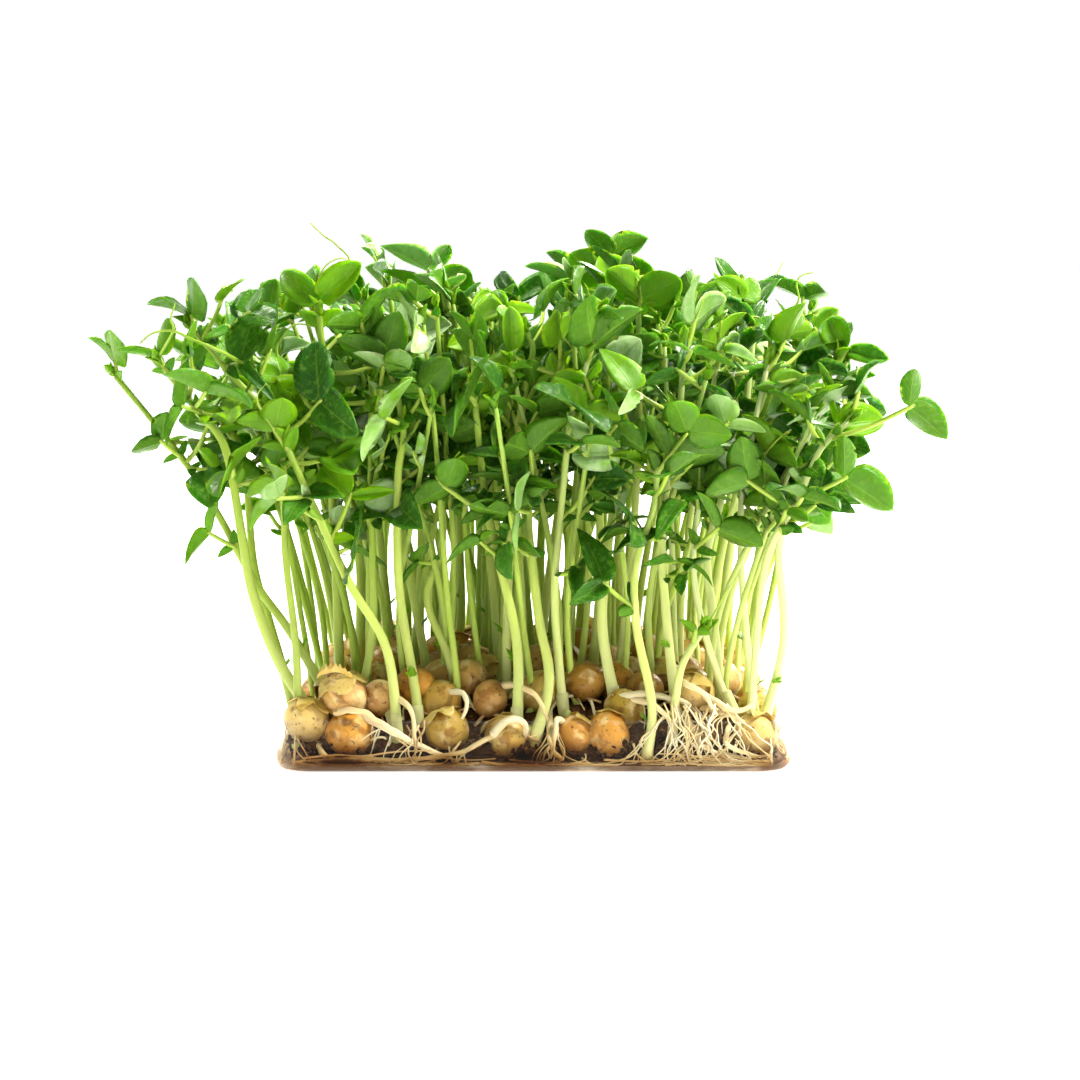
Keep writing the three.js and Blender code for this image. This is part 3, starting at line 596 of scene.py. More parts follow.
def half_heart(u, v):
    """The outline of a stipule: full and rounded on one side, narrow on the other."""
    broad = np.where(v > 0, 1.0, 0.45)
    return broad * (np.clip(np.sin(np.pi * np.clip(u * 0.9 + 0.1, 0, 1) ** 0.9), 0, 1) ** 0.7 + 0.02)


def cupped(cup, bow, length, power=2):
    """The shape of a small blade that is hollow across and bowed along."""
    return lambda u, v, width: cup * width * np.abs(v) ** power - bow * length * u * u


def blade_axes(forward, face, hand=1):
    """The ways along, across and out of a blade, from the first and about the third."""
    face = (face - forward * face.dot(forward)).normalized()
    return forward, face.cross(forward) * hand, face * hand


def ball(rings, around):
    """Points, places and faces of a round ball of radius 1."""
    points, maps = [(0, 0, 1)], [(0.5, 1)]
    for ring in range(1, rings):
        polar = math.pi * ring / rings
        for k in range(around):
            turn = TURN * k / around
            points.append((math.sin(polar) * math.cos(turn), math.sin(polar) * math.sin(turn),
                           math.cos(polar)))
            maps.append((k / around, 1 - ring / rings))
    last = len(points)
    faces = [face[::-1] for face in ring_faces(rings - 1, around, 1)]
    for k in range(around):
        a, b = 1 + k, 1 + (k + 1) % around
        faces += [(0, a, b), (last, last - around - 1 + b, last - around - 1 + a)]
    return np.array([*points, (0, 0, -1)]), [*maps, (0.5, 0)], faces


# ---- Fine shoots ----

STEM_ROUND = 0.8  # a round stem's radius beside that of the plain one's corners
STEM_SIDES = 10
STEM_STEPS = 7
STEM_RIDGES = 0.04
FOOT_SHARE = 0.05  # the share of a stem over which its foot's swelling fades
EXTRA_LEAVES = 3
EDGE_LEAVES = 6  # on the shoots that lean out at the left and right
EXTRA_TRIES = 26
LEAST_TALL = 50  # the height of a tip from which a shoot has extra leaves
LEANING_TIP = 48  # how far to the side the tip of a shoot is that leans out
OUTERMOST_TIP = 55  # and where its leaves stand alone
CROWN_SIDES = (-66, 68)
CROWN_DEPTH = 58
SECOND_PAIR_SHARE = 0.3
TENDRIL_SHARE = 0.3
BRACT_SHARE = 0.5
LEAF_SPACE = 4.2  # least room that an extra leaflet has round its middle
INNER_TRIM = 0.92  # size of an inner shoot's fine leaflets beside the plain ones
LEAF_FULL = 1.48  # width of a rounded leaflet beside the plain one's corners
SMALL_LEAFLET = 6.2
# The last of these tints is pale with a painted sheen.
DARK, MIDDLE, BRIGHT, PAINTED_SHEEN = 0.0, 0.4, 0.8, 1.0  # tints of leaves

# Shoots whose foot bends into a seed, with the seed's place in FRONT_SEEDS.
HOOKS = {4: 2, 5: 1, 6: 4, 8: 7, 11: 8, 12: 10, 14: 12}

# Tendrils and thin tips that stand out against the sky, as routes of (x, y, z) with a radius.
SKY_TENDRILS = [
    dict(radius=0.42, route=[(-57, -46, 77.5), (-62, -46, 79.6), (-65.4, -45, 81), (-69, -45, 80.7),
                             (-71.5, -45, 78.8)]),
    dict(radius=0.32, route=[(-65.4, -45, 81), (-65.8, -45, 83.2), (-65, -45, 86)]),
    dict(radius=0.22, route=[(-36, -4, 92.5), (-38.5, -4, 96.2), (-41, -4, 98), (-43.5, -4, 100.4)]),
    dict(radius=0.24, route=[(50.6, -12, 84.5), (50.8, -12, 88.8), (51.8, -12, 90.4), (54, -12, 91)]),
    dict(radius=0.3, route=[(-48, -28, 75.5), (-47, -28, 79.5), (-44.5, -28, 81.6), (-41, -28, 81.2)]),
]

# Leaves that hang low between the stems at the front: (x, z, length of a leaflet).
LOW_LEAVES = [
    (-20, 50, 6.6), (-36, 37.5, 8), (-34, 43, 5.4), (-20.5, 36, 6), (-8.5, 39, 6.6), (-1.5, 49, 8),
    (-1.5, 38, 6.2), (-7, 47, 5.6), (13, 47, 6.4), (14.5, 41.5, 6), (19, 41, 6.6), (23, 42, 6.2),
    (25, 37, 7), (28, 34, 5.6), (27, 48, 9), (9, 34.5, 9.2),
]

SLENDER_SHOOTS = 116
SLENDER_PIECES = 3
SLENDER_TRIES = 90  # for each of them
LEANING_SHOOTS = [1] * 11 + [-1] * 4  # the first of them, which lean to the right and left
SLENDER_SPACE = 1.4  # least gap between the middles of a slender stem and another
SLENDER_FEET = 3.0  # and between their feet


def crown_edge(x):
    """The height that the outermost leaves reach at a place."""
    return (98 - 0.25 * max(0, x - 25) - 0.7 * max(0, x - 50) - 0.1 * max(0, -x - 35)
            - 1.2 * max(0, -x - 60))


def in_crown(point, floor):
    left, right = CROWN_SIDES
    return (floor <= point.z <= crown_edge(point.x) and left <= point.x <= right
            and abs(point.y) <= CROWN_DEPTH)


class Crowding:
    """Where leaflets are already, to put new ones where there is room."""

    def __init__(self):
        self.middles = np.zeros((0, 3))

    def add(self, leaf):
        self.middles = np.vstack([self.middles, leaf.middle(-1), leaf.middle(1)])

    def room(self, leaf):
        """The room round a leaf's leaflets, and beside them as seen from the front."""
        spaces, fronts = [], []
        for hand in (-1, 1):
            apart = self.middles - np.array(leaf.middle(hand))
            spaces.append(float(np.min(np.linalg.norm(apart, axis=1))))
            fronts.append(float(np.min(np.linalg.norm(apart[:, [0, 2]], axis=1))))
        return min(spaces), sum(fronts) / 2


def add_leaflet(surface, leaf, hand, tint, draw, scale=1.0):
    length = leaf.length * scale
    fold = leaf.fold + 0.06 + 0.9 * draw() ** 1.7
    lop = between(draw, -0.3, 0.3)  # one half folds further than the other
    ripple, phase = between(draw, 0.02, 0.055) * length, between(draw, 0, 6)
    margin = between(draw, -0.3, 0.22)  # how far the edges curl up, or down
    curl = between(draw, -0.15, 0.34)
    twist = between(draw, -0.45, 0.45)
    outline = oval(between(draw, 0.68, 0.94), between(draw, 0.36, 0.52))

    def shape(u, v, width):
        rise = (np.sqrt(v * v + 0.004) - 0.063) * width * np.sin(fold + lop * v)
        rise = rise - (leaf.droop + curl * np.clip(u - 0.35, 0, 1)) * length * u * u
        rise = rise + ripple * np.sin(7 * u + phase + 2 * v) * v * v * np.sin(np.pi * u)
        rise = rise + margin * width * np.abs(v) ** 3.5
        return rise + twist * (u - 0.25) * width * v

    axes = leaf.directions(hand)
    half_width = length * leaf.shape / 2 * math.cos(fold) * LEAF_FULL
    add_blade(surface, leaf.joint + axes[0] * LEAFLET_STALK * 0.4, axes, length + LEAFLET_STALK * 0.6,
              half_width, outline, shape, tint, SMALL_GRID if length < SMALL_LEAFLET else LEAF_GRID)


def add_stipules(surface, leaf, length, tint, draw):
    """A pair of leafy stipules that clasp the stem below a leaf."""
    for hand in (-1, 1):
        lean = between(draw, 0.75, 1.05)
        forward = leaf.along * math.cos(lean) + leaf.side * (hand * math.sin(lean))
        tilt = between(draw, -0.2, 0.5)
        face = leaf.face * math.cos(tilt) - leaf.side * (hand * math.sin(tilt))
        # The full side faces away from the leaf stalk.
        add_blade(surface, leaf.foot + forward * 0.3, blade_axes(forward, face, -hand), length,
                  length * 0.36, half_heart, cupped(between(draw, 0.15, 0.35), 0.12, length),
                  tint + between(draw, -0.08, 0.08))


def add_tendril(surface, base, along, draw, length):
    """A thin tendril that bends more and more towards its tip."""
    heading = along.copy()
    axis = Vector((between(draw, -1, 1), between(draw, -1, 1), between(draw, -1, 1))).normalized()
    turn = between(draw, 0.1, 0.5)
    steps = 16
    route = [base.copy()]
    for i in range(steps):
        heading = Quaternion(axis, turn * (0.25 + 1.4 * (i / steps) ** 2)) @ heading
        route.append(route[-1] + heading * (length / steps))
    add_tube(surface, route, [lerp(0.24, 0.1, i / steps) for i in range(steps + 1)], 5, 0.7, 0.75)


def add_petiole(surface, leaf):
    middle = leaf.foot.lerp(leaf.joint, 0.5) - leaf.face * 0.06 * (leaf.joint - leaf.foot).length
    route, shares = smooth_route([leaf.foot, middle, leaf.joint, leaf.joint + leaf.along * 0.7], 4)
    radii = [lerp(0.5, 0.34, share) for share in shares]
    add_tube(surface, route, radii, 6, 0.5, [lerp(0.62, 0.8, share) for share in shares])


def add_leaf(surface, leaf, tint, draw, stipule, scale=1.0):
    add_petiole(surface, leaf)
    for hand in (-1, 1):
        add_leaflet(surface, leaf, hand, tint + between(draw, -0.07, 0.07), draw, scale)
    if stipule:
        add_stipules(surface, leaf, stipule, tint + between(draw, -0.1, 0.15), draw)


def add_second_pair(surface, leaf, tint, draw):
    """A smaller pair of leaflets further along the leaf's stalk."""
    far = leaf.joint + leaf.along * (0.55 * leaf.length) - leaf.face * 0.4
    route, _ = smooth_route([leaf.joint, far], 4)
    add_tube(surface, route, [0.32] * len(route), 5, 0.5, 0.8)
    young = Leaf(leaf.joint, far, leaf.length * 0.72, 0, leaf.spread * 0.9, draw)
    young.side, young.face = leaf.side, leaf.face
    for hand in (-1, 1):
        add_leaflet(surface, young, hand, tint + between(draw, 0, 0.15), draw)
    return young


def add_bud(surface, tip, heading, tint, draw):
    """Young folded leaves that close over the tip of a shoot."""
    for i in range(3):
        turn = TURN * i / 3 + between(draw, -0.5, 0.5)
        out = Quaternion(heading, turn) @ heading.orthogonal().normalized()
        lean = between(draw, 0.15, 0.55)
        forward = heading * math.cos(lean) + out * math.sin(lean)
        axes = blade_axes(forward, heading * math.sin(lean) - out * math.cos(lean))
        length = between(draw, 2.6, 4.8)
        add_blade(surface, tip, axes, length, length * 0.25, oval(0.8, 0.7),
                  cupped(0.9, 0.1, length, 1.4), tint + between(draw, 0.05, 0.2))


def add_bract(surface, route, height, turn, draw):
    """A small scale with three points, where the bare stem has a joint."""
    foot = on_stem(route, height)
    ahead = (on_stem(route, height + 3) - foot).normalized()
    out = Quaternion(ahead, turn) @ ahead.orthogonal().normalized()
    for lean in (-0.6, 0, 0.6):
        forward = (ahead * 0.75 + out * 0.6 + ahead.cross(out) * lean).normalized()
        length = between(draw, 2.2, 3.2) * (1.2 if lean == 0 else 0.8)
        add_blade(surface, foot + out * 0.6, blade_axes(forward, ahead * 0.55 - out * 0.75), length,
                  length * 0.19, oval(0.7, 0.8), cupped(0.3, 0.15, length), BRIGHT)


def stem_tint_and_painted_light(draw, foot):
    """A stem's tint, with painted light and shade: painted shade makes stems darker at the left and deep in
    the stand, and painted light makes them pale, below 0, at the right.
    """
    return clamp(0.42 - foot.x / 50 + 0.012 * (foot.y + 20) + between(draw, -0.35, 0.35), -0.8, 1)


def add_stem(surface, shoot, draw):
    route, shares = smooth_route(shoot.route, STEM_STEPS)
    girth = between(draw, 0.68, 0.98) * STEM_ROUND
    tint = stem_tint_and_painted_light(draw, route[0])
    radii = []
    for point, share in zip(route, shares):
        swell = sum(math.exp(-((point.z - leaf.foot.z) / 1.2) ** 2) for leaf in shoot.leaves)
        swell = 0.16 * min(1, swell) + 0.3 * math.exp(-share / FOOT_SHARE)
        radii.append(lerp(STEM_BASE, STEM_TIP, share) * girth * (1 + swell))
    add_tube(surface, route, radii, STEM_SIDES, tint, shares, ridges=STEM_RIDGES)


def add_hook(surface, shoot, seed):
    """The pale foot of a shoot where it bends into the seed that it grew from."""
    centre, radius = Vector(seed[:3]), seed[3]
    foot = shoot.route[0]
    top = on_stem(shoot.route, foot.z + 6)
    away = (foot - centre).normalized()
    bend = centre + away * (radius * 1.3) + UP * (0.55 * radius)
    into = centre + away * (radius * 0.55) + UP * (0.6 * radius)
    fine, shares = smooth_route([top, foot.lerp(top, 0.35), bend, into], 5)
    radii = [lerp(STEM_BASE * STEM_ROUND * 0.98, 0.95, share) for share in shares]
    add_tube(surface, fine, radii, STEM_SIDES, 0.3, 0.04)


def ruled_leaf(route, height, rises, reaches, lengths, draw):
    """A leaf that leaves a stem any way round, with its rise, reach and length from these ranges."""
    out = direction(between(draw, 0, TURN), between(draw, *rises))
    foot = on_stem(route, height)
    return Leaf(foot, foot + out * between(draw, *reaches), between(draw, *lengths),
                between(draw, -1.3, 1.3), between(draw, 0.8, 1.2), draw)


def extra_leaves(shoot, crowding):
    """More leaves on a shoot, each in the roomiest of several tries."""
    draw = stream(shoot.key + EXTRA_LEAVES_KEY)
    foot, tip = shoot.route[0], shoot.route[-1]
    leaves = []
    if tip.z < LEAST_TALL:
        return leaves
    for _ in range(EDGE_LEAVES if abs(tip.x) > LEANING_TIP else EXTRA_LEAVES):
        best, best_score = None, 0
        for _ in range(EXTRA_TRIES):
            height = lerp(foot.z, tip.z, between(draw, 0.55, 0.98))
            leaf = ruled_leaf(shoot.route, height, (-0.1, 1.1), (3.5, 10), (6, 9.8), draw)
            floor = 49 + 6 * math.sin(0.21 * leaf.joint.x + 1) * math.cos(0.13 * leaf.joint.x)
            ends = (leaf.joint, leaf.middle(-1, 1), leaf.middle(1, 1))
            if not all(in_crown(point, floor) for point in ends):
                continue
            room, front = crowding.room(leaf)
            score = room + 1.2 * front
            if room > LEAF_SPACE and score > best_score:
                best, best_score = leaf, score
        if best:
            leaves.append(best)
            crowding.add(best)
    return leaves


def low_leaves(materials):
    surface = Surface()
    draw = stream(LOW_LEAVES_KEY)
    fronts = [shoot.route for shoot in SHOOTS if shoot.route[0].y < -22 and shoot.route[-1].z > 60]
    for x, z, length in LOW_LEAVES:
        feet = [on_stem(route, z + 1) for route in fronts]
        foot = min(feet, key=lambda place: abs(place.x - x) + 0.15 * (place.y + 42))
        hand = 1 if x > foot.x else -1
        joint = Vector((lerp(foot.x, x, 0.6) + hand * 1.5, foot.y - 3.5, z + between(draw, 0.5, 3)))
        leaf = Leaf(foot, joint, length, between(draw, -0.6, 0.6), between(draw, 0.9, 1.3), draw)
        leaf.droop += between(draw, 0.1, 0.35)
        add_leaf(surface, leaf, between(draw, DARK, 0.32), draw, between(draw, 2.2, 3.2))
    surface.build("low_leaves", materials, "foliage")


def leaf_tint_and_painted_light(draw, leaf):
    """Most leaves are dark or middling green, some bright and a few pale with a painted sheen."""
    chance = draw()
    if chance < 0.6:
        # Painted shade: dark and middling leaves grow darker towards the right, where the lamps fall
        # strongest.
        return between(draw, DARK, MIDDLE) - 0.002 * leaf.joint.x  # darker towards the right
    if chance < 0.86:
        return between(draw, MIDDLE, BRIGHT - 0.04)
    return between(draw, PAINTED_SHEEN - 0.1, PAINTED_SHEEN)


def fine_shoot(shoot, index, crowding, materials):
    draw = stream(shoot.key + FINE_SHOOT_KEY)
    surface = Surface()
    add_stem(surface, shoot, draw)
    foot, tip = shoot.route[0], shoot.route[-1]
    edge = abs(tip.x) > OUTERMOST_TIP
    for leaf in shoot.leaves:
        stipule = between(draw, 3, 4) if edge else between(draw, 4, 5.6)
        tint = leaf_tint_and_painted_light(draw, leaf) * (0.5 if edge else 1)
        add_leaf(surface, leaf, tint, draw, stipule if leaf.length > 4 else 0,
                 1.0 if shoot.outer else INNER_TRIM)
    for leaf in extra_leaves(shoot, crowding):
        add_leaf(surface, leaf, leaf_tint_and_painted_light(draw, leaf), draw, between(draw, 3, 4.6))
    for leaf in shoot.leaves:
        if draw() < SECOND_PAIR_SHARE and leaf.length > 8 and leaf.joint.z > 55 and not edge:
            crowding.add(add_second_pair(surface, leaf, leaf_tint_and_painted_light(draw, leaf), draw))
        elif draw() < TENDRIL_SHARE and not edge:
            add_tendril(surface, leaf.joint, leaf.along, draw, between(draw, 5, 12))
    heading = (tip - shoot.route[-2]).normalized()
    add_bud(surface, tip, heading, between(draw, MIDDLE, BRIGHT - 0.2), draw)
    if tip.z > 40 and draw() < BRACT_SHARE:
        height = lerp(foot.z, tip.z, between(draw, 0.12, 0.24))
        add_bract(surface, shoot.route, height, between(draw, 0, 6.28), draw)
    if index in HOOKS:
        add_hook(surface, shoot, FRONT_SEEDS[HOOKS[index]])
    surface.build(shoot.name.replace("shoot", "pea_shoot"), materials, "foliage", shoot.name)


def slender_route(draw, lean):
    """A route for a slender shoot. lean: -1 or 1 where it hangs out to the left or right, else 0."""
    if lean:
        x, y = lean * between(draw, 34, 43), between(draw, -34, 38)
        tip_x = lean * between(draw, 52, 63)
        height = between(draw, 60, 82)
    else:
        x, y = between(draw, -43, 43), between(draw, -39, 42)
        tip_x = 1.22 * x + between(draw, -11, 11)
        height = crown_top(tip_x) - between(draw, 8, 34)
    tip_y = 1.16 * y + between(draw, -8, 8)
    sway = [between(draw, -4, 4), between(draw, -4, 4)]
    foot = Vector((x, y, mat_top(x, y) - STEM_SUNK))
    turn, reach = between(draw, 0, TURN), between(draw, 1.5, 5)
    start = foot + Vector((math.cos(turn) * reach, 0.6 * math.sin(turn) * reach, 0))
    start.x, start.y = clamp(start.x, -44, 44), clamp(start.y, -43, 43)
    shares = [(0.1, 0.01, 0.55), (0.35, 0.16, 1), (0.68, 0.54, 0.5), (1, 1, 0)]
    return [start, start * 0.6 + foot * 0.4 + UP * 1.6,
            *leaning_route(foot, (tip_x, tip_y, height), sway, shares)]


def slender_shoots(crowding, materials):
    """Thinner shoots that fill the stand between the others."""
    draw = stream(SLENDER_KEY)
    feet = [shoot.route[0] for shoot in SHOOTS]
    stems = np.array([point for shoot in SHOOTS for point in smooth_route(shoot.route, 8)[0]])
    surfaces = [Surface() for _ in range(SLENDER_PIECES)]
    grown = 0
    for _ in range(SLENDER_TRIES * SLENDER_SHOOTS):
        if grown == SLENDER_SHOOTS:
            break
        leaning = grown < len(LEANING_SHOOTS)
        plan = slender_route(draw, LEANING_SHOOTS[grown] if leaning else 0)
        if min((foot - plan[0]).length for foot in feet) < SLENDER_FEET:
            continue
        route, shares = smooth_route(plan, STEM_STEPS)
        gaps = [np.min(np.linalg.norm(stems - np.array(point), axis=1)) for point in route]
        if min(gaps) < SLENDER_SPACE:
            continue
        surface = surfaces[grown % SLENDER_PIECES]
        grown += 1
        feet.append(plan[0])
        stems = np.vstack([stems, *smooth_route(plan, 8)[0]])
        base = between(draw, 0.7, 0.98) + (0.1 if plan[0].y > 5 else 0)
        radii = [lerp(base, 0.42, share) * (1 + 0.35 * math.exp(-share / FOOT_SHARE)) for share in shares]
        add_tube(surface, route, radii, 8, stem_tint_and_painted_light(draw, plan[0]), shares, ridges=STEM_RIDGES)
        ranks = 5 if leaning else 3
        for rank in range(ranks):
            height = lerp(plan[0].z, plan[-1].z, lerp(0.62, 1, rank / (ranks - 1)))
            leaf = ruled_leaf(plan, height, (0.2, 1.2), (2.5, 6), (4.8, 8.2), draw)
            if 40 <= leaf.joint.z <= crown_edge(leaf.joint.x):
                add_leaf(surface, leaf, leaf_tint_and_painted_light(draw, leaf), draw, between(draw, 2.6, 3.8))
                crowding.add(leaf)
        add_bud(surface, plan[-1], (plan[-1] - plan[-2]).normalized(), MIDDLE, draw)
    for number, surface in enumerate(surfaces, 1):
        surface.build(f"slender_shoots_{number}", materials, "foliage")


def sky_tendrils(materials):
    surface = Surface()
    joints = [leaf.joint for shoot in SHOOTS for leaf in shoot.leaves]
    for plan in SKY_TENDRILS:
        start = Vector(plan["route"][0])
        nearest = min(joints, key=lambda joint: (joint - start).length)
        route, shares = smooth_route([nearest, *plan["route"]], 6)
        add_tube(surface, route, [lerp(plan["radius"], 0.12, share) for share in shares], 6, 1.0, 1.0)
    surface.build("sky_tendrils", materials, "foliage")


# ---- Tray ----

CORNER_STEPS = 8
HEEL_STEPS = 4
RIM_STEPS = 6


def rounded_square(half, radius):
    """Points round a square with rounded corners, from +X anticlockwise."""
    points = []
    for quarter in range(4):
        centre = Quaternion(UP, quarter * TURN / 4) @ Vector((half - radius, half - radius, 0))
        for step in range(CORNER_STEPS + 1):
            points.append(centre + direction((quarter + step / CORNER_STEPS) * TURN / 4, 0) * radius)
    return points


def tray_profile():
    """The wall's section, from the middle of the underside round the rim to the inside floor."""
    half, round_off = TRAY_SIDE / 2, TRAY_WALL / 2

    def heel(inset, share):
        turn = share * TURN / 4
        return (half - inset - TRAY_HEEL * (1 - math.sin(turn)),
                inset + TRAY_HEEL * (1 - math.cos(turn)))

    def rim(share):
        turn = share * TURN / 2
        return (half - round_off + round_off * math.cos(turn),
                TRAY_HEIGHT - round_off + round_off * math.sin(turn))

    return ([heel(0, step / HEEL_STEPS) for step in range(HEEL_STEPS + 1)]
            + [rim(step / RIM_STEPS) for step in range(RIM_STEPS + 1)]
            + [heel(TRAY_WALL, 1 - step / HEEL_STEPS) for step in range(HEEL_STEPS + 1)])


def fine_tray(materials):
    around = 4 * (CORNER_STEPS + 1)
    section = tray_profile()
    points, maps = [], []
    for half, z in section:
        for k, point in enumerate(rounded_square(half, TRAY_CORNER - (TRAY_SIDE / 2 - half))):
            points.append((point.x, point.y, z))
            maps.append((k / around, z / TRAY_HEIGHT))
    underside, floor = range(around), range(len(points) - around, len(points))
    faces = [*ring_faces(len(section), around), tuple(reversed(underside)), tuple(floor)]
    surface = Surface()
    surface.add(points, faces, maps, 0.5)
    piece = surface.build("clear_tray", [materials["clear"]], "clear_plastic", "tray")
    for face in (piece.data.polygons[-1], piece.data.polygons[-2]):
        face.use_smooth = False


# ---- Soil and the felt of roots ----

SOIL_CELLS = 60
SIDE_LEVELS = 4
CRUMBS = 900
CRUMB_POINTS, _, CRUMB_FACES = ball(4, 6)


def bed_surface(bottom, top, roughness, shift):
    """A slab between two height formulas, like the CAD part's, with a rough skin.

    bottom(x, y): the point of its underside below a place; top(x, y): the height there."""
    across = SOIL_CELLS + 1
    upper, lower, maps = [], [], []
    for row in range(across):
        for column in range(across):
            u, v = [math.copysign(abs(2 * step / SOIL_CELLS - 1) ** 0.8, 2 * step / SOIL_CELLS - 1)
                    for step in (column, row)]
            x = SOIL_HALF * u * math.sqrt(1 - BED_CORNER * v * v)
            y = SOIL_HALF * v * math.sqrt(1 - BED_CORNER * u * u)
            bump = noise.fractal(Vector((x * 0.35, y * 0.35, shift)), 0.9, 2, 4)
            inside = 0 < row < SOIL_CELLS and 0 < column < SOIL_CELLS
            upper.append(Vector((x, y, top(x, y) + roughness * bump * inside)))
            lower.append(bottom(x, y))
            maps.append((u, v))
    faces = []
    count = across * across
    for row in range(SOIL_CELLS):
        for column in range(SOIL_CELLS):
            here = row * across + column
            quad = (here, here + 1, here + across + 1, here + across)
            faces += [quad, tuple(count + corner for corner in quad[::-1])]
    last = SOIL_CELLS * across
    border = [*range(SOIL_CELLS), *range(SOIL_CELLS, count - 1, across),
              *range(count - 1, last, -1), *range(last, 0, -across)]
    points = upper + lower
    rings = [border]
    for level in range(1, SIDE_LEVELS):
        rings.append(range(len(points), len(points) + len(border)))
        for index in border:
            middle = upper[index].lerp(lower[index], level / SIDE_LEVELS)
            bump = noise.fractal(middle * 0.3 + Vector((0, 0, shift)), 0.9, 2, 3)
            out = Vector((middle.x, middle.y, 0)).normalized()
            points.append(middle + out * (0.8 * roughness * bump))
    places = maps + maps + [(level / SIDE_LEVELS, 0.5) for level in range(1, SIDE_LEVELS) for _ in border]
    rings.append([count + index for index in border])
    for one, other in zip(rings, rings[1:]):
        for k in range(len(border)):
            faces.append((one[k - 1], other[k - 1], other[k], one[k]))
    surface = Surface()
    surface.add(points, faces, places, 0.5)
    return surface


def add_crumbs(surface):
    """Crumbs of soil and bark, scattered over the edges and the top of the bed."""
    draw = stream(CRUMBS_KEY)
    for _ in range(CRUMBS):
        x, y = between(draw, -44, 44), between(draw, -44, 44)
        if draw() < 0.6:  # at a side, where the clear wall shows them
            side, along = int(draw() * 4), between(draw, -43, 43)
            reach = between(draw, 43.4, 45.4)
            x, y = [(along, -reach), (reach, along), (along, reach), (-reach, along)][side]
            z = between(draw, 1.6, 5.5)
        else:
            z = soil_top(x, y) + between(draw, -0.2, 0.5)
        radius = between(draw, 0.4, 1.2)
        turn = Euler([between(draw, 0, 6) for _ in range(3)]).to_matrix()
        rough = np.array([between(draw, 0.6, 1.25) for _ in CRUMB_POINTS])[:, None]
        size = np.array([1, between(draw, 0.5, 1), between(draw, 0.4, 0.9)])
        points = (CRUMB_POINTS * rough * size * radius) @ np.array(turn).T + (x, y, z)
        surface.add(points, CRUMB_FACES, np.zeros((len(points), 2)), draw())


def soil_and_felt(materials):
    soil = bed_surface(lambda x, y: Vector((x * 0.97, y * 0.97, TRAY_WALL + GAP)), soil_top, 0.5, 3.0)
    add_crumbs(soil)
    soil.build("potting_soil", [materials["soil"]], "soil", "soil")
    felt = bed_surface(lambda x, y: Vector((x, y, soil_top(x, y) + GAP)),
                       lambda x, y: mat_top(x, y) - 0.6, 0.9, 9.0)
    felt.build("root_felt", [materials["felt"]], "seeds_and_roots", "seed_root_mat")


# ---- Seeds ----

FRONT_TINTS = [0.02, 0.52, 0.5, 0.92, 0.72, 0.68, 0.42, 0.83, 0.1, 0.03, 0.76, 0.95, 0.9]
SECOND_TINTS = [0.2, 0.06, 0.6, 0.22, 0.3, 0.55, 0.8]
FRONT_SPLITS = [1, 3, 7, 11, 12]  # seeds whose coat has split to show the halves
OTHER_SPLITS = 0.12  # the share of the other seeds with a split coat
FILLER_SEEDS = 46
FILLER_TRIES = 60  # for each of them
HUSK_SHARE = 0.22
HUSK_THICK = 0.16
HUSK_GRID = (6, 14)
HUSK_FACES = sheet_faces(*HUSK_GRID, tipped=False)
BALL_POINTS, BALL_MAPS, BALL_FACES = ball(18, 24)


def ruled_seeds():
    """Seeds round the other three sides and under the shoots."""
    draw = stream(SIDE_SEEDS_KEY)
    seeds = []
    wall = TRAY_SIDE / 2 - TRAY_WALL - 0.8
    rest = SOIL_RIM + GAP + SEED + 0.4
    for i in range(3):
        along = -18 + 24 * i + between(draw, -4, 4)
        for side in (-1, 1):
            radius = SEED * between(draw, 0.9, 1.06)
            seeds.append([side * (wall - radius), along, rest, radius])
    for i in range(3):
        radius = SEED * between(draw, 0.9, 1.06)
        x = -26 + 26 * i + between(draw, -4, 4)
        seeds.append([x, wall - radius, rest, radius])
    for y in (-16, 6, 26):
        for column in (-30, 0, 30):
            x, back = column + between(draw, -3, 3), y + between(draw, -3, 3)
            radius = SEED * between(draw, 0.88, 1.04)
            seeds.append([x, back, mat_top(x, back) + between(draw, 0.4, 2), radius])
    return seeds


def seed_middle(place):
    """Where a seed's middle is, clear of the tray's floor."""
    x, y, z, radius = place
    return Vector((x, y, max(z, TRAY_WALL + GAP + radius + 0.3)))


def add_seed(surface, place, key, tint, split):
    """A swollen seed: dimpled and finely wrinkled, and where its coat has split, with a groove."""
    radius = place[3]
    draw = stream(key)
    turn = Euler([between(draw, 0, 3) for _ in range(3)])
    size = [between(draw, 1, 1.08), between(draw, 0.94, 1), between(draw, 0.88, 0.96)]
    shift = Vector([between(draw, 0, 50) for _ in range(3)])
    flat = between(draw, 0.02, 0.07)
    reach, grooves = [], []
    for point in BALL_POINTS:
        spot = Vector(point)
        r = 1 - flat * math.exp(-((1 - spot.x) / 0.2) ** 2)
        for scale, depth in ((1.6, 0.05), (4, 0.022), (9, 0.01)):
            r += depth * noise.noise(spot * scale + shift)
        groove = 0.0
        if split:
            off = spot.y - 0.05 * math.sin(6 * spot.x)
            groove = math.exp(-((off / 0.09) ** 2)) * clamp(spot.z + 0.5, 0, 1)
            r += 0.04 * math.exp(-((abs(spot.y) - 0.2) / 0.1) ** 2) - 0.12 * groove
        reach.append(r)
        grooves.append(groove)
    points = BALL_POINTS * np.array(reach)[:, None] * np.array(size) * radius
    points = points @ np.array(turn.to_matrix()).T
    # Painted shade: the lower part of each seed is marked to be darkened, as if in shadow.
    painted_underside_shade = np.clip(0.15 - 1.15 * points[:, 2] / radius, 0, 1)
    surface.add(points + seed_middle(place), BALL_FACES, BALL_MAPS, tint, np.array(grooves) - painted_underside_shade)


